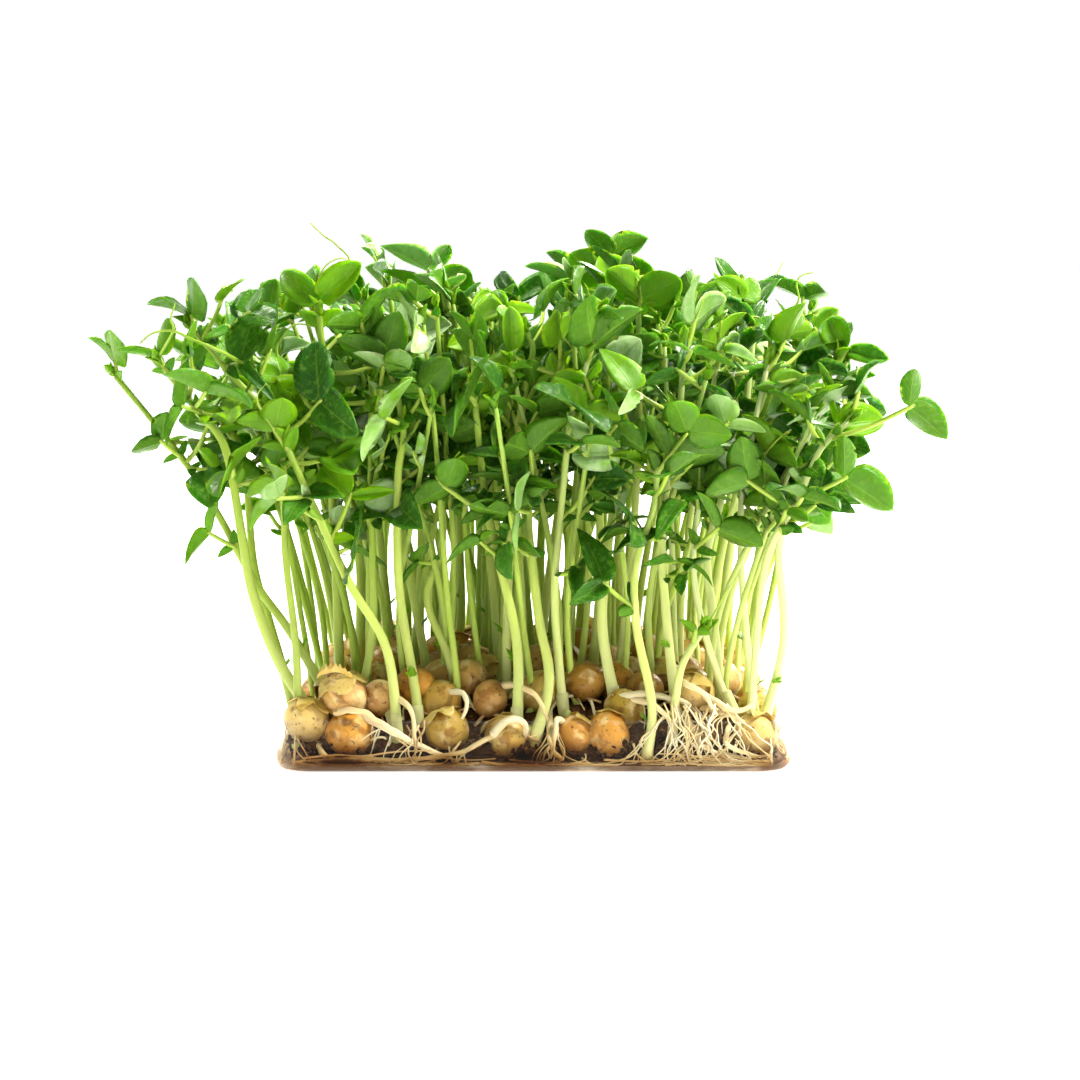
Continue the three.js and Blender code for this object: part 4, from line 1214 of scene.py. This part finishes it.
def add_husk(surface, place, key, tint):
    """A torn piece of seed coat that still clings to a seed."""
    middle, radius = seed_middle(place), place[3]
    draw = stream(key + HUSK_KEY)
    rows, columns = HUSK_GRID
    lean = Euler((between(draw, -0.9, 0.9), between(draw, -0.9, 0.9), between(draw, 0, 6))).to_matrix()
    reach = between(draw, 0.7, 1.25)
    outer, inner, maps, inner_maps = [], [], [], []
    for row in range(rows + 1):
        for column in range(columns + 1):
            turn = TURN * 0.8 * column / columns
            torn = reach * (1 + 0.22 * math.sin(5 * turn + key) + 0.12 * math.sin(11 * turn))
            out = lean @ direction(turn, TURN / 4 - lerp(0.25, torn, row / rows))
            distance = radius * (1.05 + 0.16 * (row / rows) ** 3)
            outer.append(middle + out * distance)
            maps.append((column / columns, row / rows))
            if 0 < row < rows and 0 < column < columns:
                inner.append(middle + out * (distance - HUSK_THICK))
                inner_maps.append(maps[-1])
    surface.add(outer + inner, HUSK_FACES, maps + inner_maps, tint, 0.3)


CREST = [(-40, -42.5, 17), (-38.6, -43.6, 18), (-36, -44, 18.4), (-33.4, -43.2, 17.2)]
CREST_TEETH = 9


def add_crest(surface):
    """A strip of torn coat with a toothed edge, which stands on a seed at the front."""
    fine, shares = smooth_route(CREST, 2 * CREST_TEETH // 3)
    points = []
    for i, (foot, share) in enumerate(zip(fine, shares)):
        tall = (1.15 if i % 2 else 0.5) * (0.5 + math.sin(math.pi * share))
        for lean, rise in ((-0.3, -0.3), (-0.25, tall), (0.25, tall), (0.3, -0.3)):
            points.append(foot + Vector((0, lean - 0.3 * rise, rise)))
    last = len(points) - 1
    faces = [face[::-1] for face in ring_faces(len(fine), 4)]
    faces += [(0, 1, 2, 3), (last, last - 1, last - 2, last - 3)]
    surface.add(points, faces, np.zeros((len(points), 2)), 0.85, 0.4)


def filler_seeds(known):
    """More seeds on the felt, clear of the others and of the stems' feet."""
    draw = stream(FILLER_PLACES_KEY)
    seeds = []
    feet = [shoot.route[0] for shoot in SHOOTS]
    for _ in range(FILLER_TRIES * FILLER_SEEDS):
        if len(seeds) == FILLER_SEEDS:
            break
        x, y = between(draw, -41.5, 41.5), between(draw, -42.6, 41.5)
        radius = SEED * between(draw, 0.82, 1.05)
        z = mat_top(x, y) + between(draw, -0.6, 1.8)
        if z < TRAY_WALL + GAP + radius:
            z = TRAY_WALL + GAP + radius + 0.3
        middle = Vector((x, y, z))
        clear = all((middle - Vector(other[:3])).length >= 0.86 * (radius + other[3])
                    for other in known + seeds)
        if clear and all(math.hypot(x - foot.x, y - foot.y) >= radius + 0.3 for foot in feet):
            seeds.append([x, y, z, radius])
    return seeds


def seed_places():
    """Each seed's place, what starts its random numbers, and its tint."""
    places = [*FRONT_SEEDS, *SECOND_SEEDS, *ruled_seeds()]
    more = filler_seeds(places)
    keys = [FIRST_SEED_KEY + i for i in range(len(places))] + [FILLER_KEY + i for i in range(len(more))]
    draw = stream(SEED_TINTS_KEY)
    tints = FRONT_TINTS + SECOND_TINTS
    places += more
    # Painted shade: seeds behind the front (y over -20) get lower tints, browner and darker, as if under the
    # stand's shadow.
    tints += [between(draw, 0.08, 0.85) ** (1 if place[1] < -20 else 1.6) for place in places[len(tints):]]
    return zip(places, keys, tints)


def fine_seeds(materials):
    surface = Surface()
    draw = stream(SEED_COATS_KEY)
    for index, (place, key, tint) in enumerate(seed_places()):
        front_split = index in FRONT_SPLITS
        split = front_split or (index > len(FRONT_SEEDS) and draw() < OTHER_SPLITS)
        add_seed(surface, place, key, tint, split)
        if draw() < HUSK_SHARE or front_split:
            add_husk(surface, place, key, between(draw, 0.6, 0.95))
    add_crest(surface)
    surface.build("swollen_seeds", [materials["seed"]], "seeds_and_roots", "seed_root_mat")


# ---- Roots ----

WALL_INSIDE = TRAY_SIDE / 2 - TRAY_WALL
WALL_FOOT = TRAY_WALL + 0.5
TOP_ROOTS = 150

# Pale roots and shoots' feet that bend between the seeds at the front.
PALE_ROOTS = [
    dict(radius=1.0, route=[(-7.4, -45.2, 6.6), (-4.8, -46, 9.4), (-1.4, -45.4, 8.8), (-1.7, -43.2, 4.6)]),
    dict(radius=0.9, route=[(-36.5, -43, 10.4), (-33.5, -45.6, 11.2), (-30.4, -46, 10.4), (-28, -45, 8.4)]),
    dict(radius=0.7, route=[(-16.5, -37, 13), (-13, -41.5, 14), (-12.2, -43.4, 11.6), (-14, -43.2, 7.6)]),
    dict(radius=0.7, route=[(6, -41.4, 8), (4.6, -44.6, 9.4), (4, -46.1, 6), (3.2, -46.2, 2.4)]),
    dict(radius=0.8, route=[(-6.5, -37.5, 14.4), (-2.6, -41, 15), (0.8, -43.2, 13.4), (2.8, -42.4, 8.6)]),
    dict(radius=0.7, route=[(17.5, -39.5, 12.5), (22.6, -44.2, 12), (25.4, -45.4, 9), (26.4, -45.8, 5.4)]),
    dict(radius=0.8, route=[(27.6, -38.6, 15.2), (28.6, -43, 15.8), (31.8, -44.6, 13.4), (34, -44.8, 10.2)]),
    dict(radius=0.9, route=[(31.4, -40.6, 13.4), (35, -44.2, 11.8), (38.4, -44.8, 11.2), (41, -44.4, 12.6)]),
    dict(radius=0.7, route=[(-26.5, -40.5, 13), (-23.4, -43.8, 12), (-22, -45.2, 8), (-21.6, -45.8, 3.4)]),
]

# Clumps of fine roots at the front wall: (place along it, half their width, height, number).
FRONT_CLUMPS = [(-44, 3, 6, 6), (-24, 4, 9, 6), (-16, 3, 6, 4), (3.4, 2, 8, 6), (14, 5, 4, 3),
                (21, 3, 6, 4), (31, 7, 12, 36), (40, 5, 7, 9)]
# Fine roots along its foot: (place along it, height, number).
FRONT_STRANDS = [(-44, 1.2, 7), (-30, 1.2, 3), (-8, 1.2, 2), (12, 1.2, 2), (28, 1.2, 4), (43, 1.2, 3)]
SIDE_CLUMPS = 7
SIDE_STRANDS = 16
WAVER_SEED = 1  # so that the thick roots waver alike at each run


def ruled_roots():
    """Thick roots that come out of the felt and run down the tray's other three walls."""
    draw = stream(SIDE_ROOTS_KEY)
    roots = []
    reach = SOIL_HALF + 1.2
    for i in range(6):
        along = -18 + 36 * (i % 2) + between(draw, -6, 6)
        slip = between(draw, -8, 8)
        turn = Quaternion(UP, TURN / 4 * (i // 2 - 1))
        route = [(along, 40, 7), (along + slip / 2, reach, 5), (along + slip, reach, 3)]
        roots.append(dict(radius=ROOT, route=[turn @ Vector(point) for point in route]))
    return roots


def add_root(surface, route, start, end, tint, steps=4, sides=5):
    fine, shares = smooth_route(route, steps)
    add_tube(surface, fine, [lerp(start, end, share) for share in shares], sides, tint, 0.5)


def inside_tray(point, foot):
    """The nearest place to a point that is clear of the walls and the floor."""
    limit = WALL_INSIDE - 0.5
    return Vector((clamp(point.x, -limit, limit), clamp(point.y, -limit, limit), max(foot, point.z)))


def add_laterals(surface, route, draw, number):
    """Hair-thin side roots that leave a thick one and hang along the wall."""
    fine, _ = smooth_route(route, 5)
    for _ in range(number):
        points = [fine[int(between(draw, 0.25, 0.95) * (len(fine) - 1))]]
        way = Vector((between(draw, -1, 1), between(draw, -0.2, 0.1), between(draw, -1, -0.2)))
        length = between(draw, 3, 7)
        for _ in range(3):
            way = (way + Vector((between(draw, -0.4, 0.4), 0, between(draw, -0.5, 0)))).normalized()
            points.append(inside_tray(points[-1] + way * (length / 3), TRAY_WALL + 0.4))
        add_root(surface, points, 0.2, 0.1, 0.95, 3, 4)


def on_wall(side, along, out, z):
    """A place beside one of the walls: 0 is the front, and the others follow anticlockwise."""
    along = clamp(along, -44, 44)
    x, y = [(along, -out), (out, along), (-along, out), (-out, -along)][side]
    return Vector((x, y, z))


def wall_strand(draw, side, along, low):
    """A fine root that runs level along the foot of a wall."""
    hand = 1 if draw() < 0.5 else -1
    z = low + between(draw, 0, 1.3)
    out = WALL_INSIDE - between(draw, 0.25, 0.7)
    points = []
    for _ in range(int(between(draw, 4, 8))):
        points.append(on_wall(side, along, out, z))
        along += hand * between(draw, 3, 6)
        z = max(low, z + between(draw, -0.6, 0.6))
    return points


def wall_hair(draw, side, along, top):
    """A fine root that fans out of a clump and down the wall."""
    z = top + between(draw, -2, 0.5)
    heading = between(draw, -0.9, 0.9)
    points = []
    out = WALL_INSIDE - between(draw, 2.2, 3.4)
    while z > WALL_FOOT and len(points) < 8:
        points.append(on_wall(side, along, out, z))
        heading += between(draw, -0.5, 0.5)
        along += 1.7 * math.sin(heading) + 0.6 * math.sin(2.3 * z)
        z -= between(draw, 1.2, 2)
        out = min(WALL_INSIDE - 0.3, out + between(draw, 0.4, 1.5))
    hand = 1 if math.sin(heading) > 0 else -1
    for _ in range(int(between(draw, 0, 3))):
        along += hand * between(draw, 1.2, 2.6)
        points.append(on_wall(side, along, WALL_INSIDE - 0.4, WALL_FOOT + between(draw, 0, 0.5)))
    return points


def top_root(draw):
    """A fine root that wanders over the felt between the seeds."""
    x, y = between(draw, -42, 42), between(draw, -43, 42)
    heading = between(draw, 0, 6.28)
    points = []
    for _ in range(int(between(draw, 4, 8))):
        points.append((x, y, mat_top(x, y) + between(draw, -0.4, 1.4)))
        heading += between(draw, -0.7, 0.7)
        step = between(draw, 2, 4.5)
        x = clamp(x + step * math.cos(heading), -44, 44)
        y = clamp(y + step * math.sin(heading), -44, 44)
    return points


def knobbly_root(surface, plan, draw):
    """A thick root that wavers a little and swells here and there."""
    fine, shares = smooth_route(plan["route"], 8)
    shift = Vector((between(draw, 0, 50), between(draw, 0, 50), 0))
    bent = [inside_tray(point + noise.noise_vector(point * 0.35 + shift) * (0.5 * math.sin(math.pi * share)),
                        WALL_FOOT + 0.2)
            for point, share in zip(fine, shares)]
    radii = [plan["radius"] * lerp(0.92, 0.4, share) * (1 + 0.2 * noise.noise(point * 0.6 + shift))
             for point, share in zip(bent, shares)]
    add_tube(surface, bent, radii, 9, between(draw, 0.72, 0.95), 0.5)


def root_tint(draw, low, high, side, along):
    """Fine roots at the front are browner at its left and paler at its right."""
    return between(draw, low, high) + (along / 120 if side == 0 else 0)


def fine_roots(materials):
    surface = Surface()
    draw = stream(FINE_ROOTS_KEY)
    noise.seed_set(WAVER_SEED)
    for plan in PALE_ROOTS:
        knobbly_root(surface, plan, draw)
    for plan in [*FRONT_ROOTS, *ruled_roots()]:
        knobbly_root(surface, plan, draw)
        add_laterals(surface, plan["route"], draw, 6)
    clumps = [(0, *clump) for clump in FRONT_CLUMPS]
    strands = [(0, along, low) for along, low, number in FRONT_STRANDS for _ in range(number)]
    for side in (1, 2, 3):
        for _ in range(SIDE_CLUMPS):
            clumps.append((side, between(draw, -42, 42), between(draw, 2, 6), between(draw, 5, 10),
                           int(between(draw, 4, 22))))
        strands += [(side, between(draw, -44, 44), WALL_FOOT) for _ in range(SIDE_STRANDS)]
    for side, along, half, top, number in clumps:
        for _ in range(number):
            hair = wall_hair(draw, side, along + between(draw, -half, half), top)
            thick = between(draw, 0.12, 0.26)
            if len(hair) > 2:
                tint = root_tint(draw, 0.25, 1, side, along)
                add_root(surface, hair, thick, 0.5 * thick, tint)
    for side, along, low in strands:
        thick = between(draw, 0.14, 0.34)
        strand = wall_strand(draw, side, along + between(draw, -4, 4), low)
        add_root(surface, strand, thick, 0.6 * thick, root_tint(draw, 0.2, 0.9, side, along))
    for _ in range(TOP_ROOTS):
        thick = between(draw, 0.15, 0.42)
        add_root(surface, top_root(draw), thick, 0.6 * thick, between(draw, 0.2, 0.95))
    surface.build("matted_roots", [materials["root"]], "seeds_and_roots", "seed_root_mat")


# ---- Materials ----


class Shader:
    """A material's node tree, with short ways to add nodes."""

    def __init__(self, name, roughness, gloss=None):
        self.material = bpy.data.materials.new(name)
        self.material.use_nodes = True
        self.tree = self.material.node_tree
        self.surface = next(n for n in self.tree.nodes if n.type == "BSDF_PRINCIPLED")
        self.set("Roughness", roughness)
        if gloss is not None:
            self.set("Specular IOR Level", gloss)

    def set(self, label, value):
        self.surface.inputs[label].default_value = value

    def node(self, kind, *links, **settings):
        made = self.tree.nodes.new(kind)
        for label, value in settings.items():
            setattr(made, label, value)
        for socket, source in zip(made.inputs, links):
            self.feed(socket, source)
        return made

    def feed(self, socket, source):
        if isinstance(source, (int, float, tuple)):
            socket.default_value = source
        else:
            self.tree.links.new(source, socket)

    def attribute(self, name):
        return self.node("ShaderNodeAttribute", attribute_name=name).outputs["Fac"]

    def place(self):
        """The two directions of the map of a piece's surface."""
        shape = self.node("ShaderNodeUVMap", uv_map="Shape").outputs[0]
        return self.node("ShaderNodeSeparateXYZ", shape).outputs[:2]

    def math(self, operation, *values, within=False):
        """within: whether the result is kept from 0 to 1."""
        return self.node("ShaderNodeMath", *values, operation=operation, use_clamp=within).outputs[0]

    def ramp(self, source, *stops):
        made = self.node("ShaderNodeValToRGB", source)
        ramp = made.color_ramp
        ramp.elements[0].position = stops[0][0]
        ramp.elements[1].position = stops[-1][0]
        for place, _ in stops[1:-1]:
            ramp.elements.new(place)
        for element, (_, colour) in zip(ramp.elements, stops):
            element.color = (*colour, 1)
        return made.outputs["Color"]

    def mix(self, share, one, other):
        made = self.node("ShaderNodeMix", data_type="RGBA")
        for label, source in (("Factor_Float", share), ("A_Color", one), ("B_Color", other)):
            socket = next(s for s in made.inputs if s.identifier == label)
            self.feed(socket, (*source, 1) if isinstance(source, tuple) else source)
        return next(s for s in made.outputs if s.identifier == "Result_Color")

    def blend(self, body, colour, source, share):
        """A colour laid over the body, by a share of the source."""
        return self.mix(self.math("MULTIPLY", source, share), body, colour)

    def noise(self, scale, detail, stretch=None):
        place = self.node("ShaderNodeTexCoord").outputs["Object"]
        if stretch:
            place = self.node("ShaderNodeMapping", place).outputs[0]
            place.node.inputs["Scale"].default_value = stretch
        made = self.node("ShaderNodeTexNoise", place)
        made.inputs["Scale"].default_value = scale
        made.inputs["Detail"].default_value = detail
        return made.outputs["Fac"]

    def spots(self, scale, detail, threshold, gain):
        """1 where the noise is well over the threshold, and 0 where it is under."""
        above = self.math("SUBTRACT", self.noise(scale, detail), threshold)
        return self.math("MULTIPLY", above, gain, within=True)

    def bump(self, height, strength, distance):
        made = self.node("ShaderNodeBump")
        for label, value in (("Strength", strength), ("Distance", distance * MM)):
            made.inputs[label].default_value = value
        self.feed(made.inputs["Height"], height)
        self.feed(self.surface.inputs["Normal"], made.outputs[0])

    def scatter(self, weight, radius, scale):
        self.set("Subsurface Weight", weight)
        self.set("Subsurface Radius", radius)
        self.set("Subsurface Scale", scale * MM)

    def finish(self, colour):
        """The material, with its colour."""
        self.feed(self.surface.inputs["Base Color"], colour)
        return self.material


def stem_material():
    shader = Shader("pea_stem", 0.4, 0.16)
    tint = shader.attribute("tint")
    body = shader.ramp(shader.attribute("shade"), (0, (0.78, 0.75, 0.44)), (0.08, (0.70, 0.73, 0.30)),
                       (0.3, (0.56, 0.64, 0.14)), (0.65, (0.34, 0.49, 0.035)), (1, (0.16, 0.34, 0.010)))
    streaks = shader.noise(260, 2, stretch=(1, 1, 0.12))
    body = shader.blend(body, (0.70, 0.76, 0.30), streaks, 0.45)
    # The tint paints light and shade: over 0 it darkens a stem as painted shade, and under 0 it makes it
    # pale as painted light.
    body = shader.blend(body, (0.24, 0.38, 0.025), tint, 0.6)
    body = shader.blend(body, (0.84, 0.88, 0.52), tint, -0.75)
    shader.bump(streaks, 0.3, 0.25)
    shader.scatter(0.25, (1.0, 1.2, 0.3), 1.2)
    return shader.finish(body)


def leaf_material():
    shader = Shader("pea_leaf", 0.34, 0.13)
    mottle = shader.noise(330, 2)
    patches = shader.math("MULTIPLY", shader.math("SUBTRACT", shader.noise(210, 3), 0.5), 0.42)
    # At tint 1 the ramp ends in a pale painted sheen.
    body = shader.ramp(shader.math("ADD", shader.attribute("tint"), patches),
                       (0, (0.013, 0.072, 0.008)), (0.18, (0.022, 0.112, 0.001)),
                       (0.36, (0.046, 0.175, 0.014)), (0.52, (0.092, 0.255, 0.001)),
                       (0.8, (0.21, 0.43, 0.002)), (0.88, (0.14, 0.33, 0.02)), (1, (0.40, 0.58, 0.27)))
    body = shader.blend(body, (0.10, 0.25, 0.006), mottle, 0.16)
    body = shader.blend(body, (0.19, 0.35, 0.04), shader.spots(1000, 1.5, 0.52, 6), 0.32)

    def line(distance, sharpness):
        """1 on a vein and 0 away from it."""
        return shader.math("SUBTRACT", 1, shader.math("MULTIPLY", distance, sharpness, within=True))

    across, along = shader.place()
    out = shader.math("ABSOLUTE", shader.math("SUBTRACT", across, 0.5))
    slanted = shader.math("SUBTRACT", along, shader.math("MULTIPLY", out, 0.75))
    wave = shader.math("ABSOLUTE", shader.math("SINE", shader.math("MULTIPLY", slanted, 19)))
    lines = shader.math("MAXIMUM", shader.math("MULTIPLY", line(wave, 5), 0.35), line(out, 26))
    body = shader.blend(body, (0.17, 0.35, 0.03), lines, 0.52)
    pale = shader.blend((0.105, 0.225, 0.008), (0.22, 0.37, 0.03), lines, 0.4)
    pale = shader.blend(pale, (0.16, 0.30, 0.05), mottle, 0.5)
    body = shader.blend(body, pale, shader.attribute("shade"), 0.45)
    height = shader.math("ADD", shader.math("MULTIPLY", lines, 0.5), shader.math("MULTIPLY", mottle, 1.6))
    shader.bump(height, 0.6, 0.4)
    shader.scatter(0.24, (0.5, 1.0, 0.08), 0.7)
    return shader.finish(body)


def seed_material():
    """In a split the shade is over 0, and on the lower part of a seed it is under 0, where it paints shade.
    """
    shader = Shader("pea_seed", 0.38, 0.22)
    shade = shader.attribute("shade")
    cloud = shader.noise(190, 4)
    body = shader.ramp(shader.attribute("tint"), (0, (0.64, 0.27, 0.028)), (0.25, (0.24, 0.10, 0.013)),
                       (0.5, (0.60, 0.35, 0.14)), (0.75, (0.34, 0.23, 0.016)), (1, (0.76, 0.58, 0.24)))
    body = shader.blend(body, (0.72, 0.44, 0.10), cloud, 0.45)
    body = shader.blend(body, (0.88, 0.74, 0.38), shader.spots(290, 5, 0.54, 8), 0.6)
    body = shader.blend(body, (0.25, 0.095, 0.011), shader.spots(380, 6, 0.53, 10), 0.72)
    # Painted shade, darker brown on the lower part of each seed.
    body = shader.blend(body, (0.13, 0.055, 0.009), shade, -0.8)
    body = shader.blend(body, (0.10, 0.05, 0.02), shader.spots(1200, 2, 0.64, 16), 0.8)
    body = shader.mix(shade, body, (0.55, 0.42, 0.10))
    shader.bump(shader.math("ADD", shader.noise(900, 3), cloud), 0.35, 0.3)
    shader.scatter(0.22, (1.0, 0.6, 0.2), 1.1)
    return shader.finish(body)


def root_material():
    shader = Shader("pea_root", 0.5, 0.2)
    body = shader.ramp(shader.attribute("tint"), (0, (0.30, 0.16, 0.06)), (0.45, (0.58, 0.39, 0.17)),
                       (0.8, (0.76, 0.62, 0.33)), (1, (0.89, 0.83, 0.60)))
    body = shader.blend(body, (0.62, 0.46, 0.25), shader.noise(240, 4), 0.35)
    shader.bump(shader.noise(1500, 2), 0.3, 0.2)
    shader.scatter(0.3, (1.0, 0.8, 0.5), 0.8)
    return shader.finish(body)


def soil_material(name, dark, light, fleck):
    shader = Shader(name, 0.9, 0.06)
    grain = shader.noise(520, 6)
    body = shader.mix(grain, dark, light)
    body = shader.blend(body, fleck, shader.spots(1100, 2, 0.62, 12), 0.6)
    shader.bump(shader.math("ADD", grain, shader.noise(1700, 3)), 0.8, 0.6)
    return shader.finish(body)


def clear_material():
    """Clear plastic: nearly all of what is behind it shows, with a gloss towards its edges, and
    through a brown film at its foot."""
    shader = Shader("clear_plastic", 0.08)
    _, height = shader.place()
    muddy = shader.math("MULTIPLY", shader.math("SUBTRACT", shader.noise(70, 5), 0.5), 1.3)
    rise = shader.math("SUBTRACT", height, muddy)
    film = shader.ramp(rise, (0.04, (0.46, 0.33, 0.21)), (0.2, (0.84, 0.77, 0.66)),
                       (0.5, (0.99, 0.992, 0.99)))
    see = shader.node("ShaderNodeBsdfTransparent", film)
    edge = shader.node("ShaderNodeLayerWeight", 0.22)
    share = shader.math("ADD", shader.math("MULTIPLY", edge.outputs["Facing"], 0.2), 0.004)
    both = shader.node("ShaderNodeMixShader", share, see.outputs[0], shader.surface.outputs[0])
    output = next(n for n in shader.tree.nodes if n.type == "OUTPUT_MATERIAL")
    shader.feed(output.inputs["Surface"], both.outputs[0])
    return shader.finish((0.93, 0.96, 0.95, 1))


# ---- Everything ----


def build_object():
    soil_tints = (0.018, 0.007, 0.003), (0.085, 0.036, 0.014), (0.22, 0.12, 0.05)
    felt_tints = (0.024, 0.010, 0.004), (0.13, 0.062, 0.022), (0.42, 0.27, 0.10)
    plant = [stem_material(), leaf_material()]
    materials = {
        "seed": seed_material(),
        "root": root_material(),
        "soil": soil_material("potting_soil", *soil_tints),
        "felt": soil_material("root_felt", *felt_tints),
        "clear": clear_material(),
    }
    crowding = Crowding()
    for shoot in SHOOTS:
        for leaf in shoot.leaves:
            crowding.add(leaf)
    for index, shoot in enumerate(SHOOTS):
        fine_shoot(shoot, index, crowding, plant)
    slender_shoots(crowding, plant)
    low_leaves(plant)
    sky_tendrils(plant)
    fine_tray(materials)
    soil_and_felt(materials)
    fine_seeds(materials)
    fine_roots(materials)


# ---- Studio ----

CAMERA_PLACE = (1.3, -568, 102)
CAMERA_DIP = 6.46  # degrees below level
CAMERA_LENS = 95.7
LIGHT_AIM = Vector((0, 0, 50))
LIGHT_COLOUR = (1, 0.97, 0.86)
# The lights' name, place, width and power.
LIGHTS = [
    ("key", (460, -160, 620), 200, 11.5),
    ("back", (420, 560, 420), 320, 14.5),
    ("rim", (-380, 240, 560), 240, 5.6),
]
# How bright the studio's surroundings are: along each axis, from where to where and from what to what.
SKY = [
    ("Z", 0.2, 0.6, 1.03, 0.32),
    ("Y", -0.6, 0.1, 0.6, 1),
    ("X", -0.9, -0.2, 0.74, 1),
]
FLOOR_SIDE = 12000
FLOOR_GAP = 0.05  # how far below the tray it lies
FLOOR_GLOW = 0.67


def add_camera():
    data = bpy.data.cameras.new("camera")
    data.lens = CAMERA_LENS
    data.sensor_width = 36
    data.clip_start = 0.01
    camera = add_object("camera", data)
    camera.location = Vector(CAMERA_PLACE) * MM
    camera.rotation_euler = (math.radians(90 - CAMERA_DIP), 0, 0)
    bpy.context.scene.camera = camera


def add_area_light(name, place, size, power):
    data = bpy.data.lights.new(name, "AREA")
    data.shape = "DISK"
    data.size = size * MM
    data.energy = power
    data.color = LIGHT_COLOUR
    light = add_object(name, data)
    light.location = Vector(place) * MM
    aim = LIGHT_AIM * MM - light.location
    light.rotation_euler = aim.to_track_quat("-Z", "Y").to_euler()


def add_floor():
    reach = FLOOR_SIDE / 2 * MM
    mesh = bpy.data.meshes.new("floor")
    corners = [(-reach, -reach, 0), (reach, -reach, 0), (reach, reach, 0), (-reach, reach, 0)]
    mesh.from_pydata(corners, [], [(0, 1, 2, 3)])
    shader = Shader("studio_floor", 0.9)
    shader.set("Emission Color", (1, 1, 1, 1))
    shader.set("Emission Strength", FLOOR_GLOW)
    mesh.materials.append(shader.finish((0.9, 0.9, 0.9, 1)))
    floor = add_object("floor", mesh)
    floor.location.z = -FLOOR_GAP * MM


def add_sky():
    world = bpy.data.worlds.new("studio")
    world.use_nodes = True
    nodes, links = world.node_tree.nodes, world.node_tree.links
    back = next(n for n in nodes if n.type == "BACKGROUND")
    place = nodes.new("ShaderNodeTexCoord")
    axes = nodes.new("ShaderNodeSeparateXYZ")
    links.new(place.outputs["Generated"], axes.inputs[0])
    strength = None
    for axis, *span in SKY:
        part = nodes.new("ShaderNodeMapRange")
        links.new(axes.outputs[axis], part.inputs["Value"])
        for label, value in zip(("From Min", "From Max", "To Min", "To Max"), span):
            part.inputs[label].default_value = value
        if strength:
            product = nodes.new("ShaderNodeMath")
            product.operation = "MULTIPLY"
            links.new(strength, product.inputs[0])
            links.new(part.outputs["Result"], product.inputs[1])
            strength = product.outputs[0]
        else:
            strength = part.outputs["Result"]
    links.new(strength, back.inputs["Strength"])
    back.inputs["Color"].default_value = (1, 1, 1, 1)
    bpy.context.scene.world = world


def add_studio():
    add_sky()
    for light in LIGHTS:
        add_area_light(*light)
    add_floor()
    add_camera()
    bpy.context.scene.view_settings.view_transform = "Standard"


build_object()
add_studio()
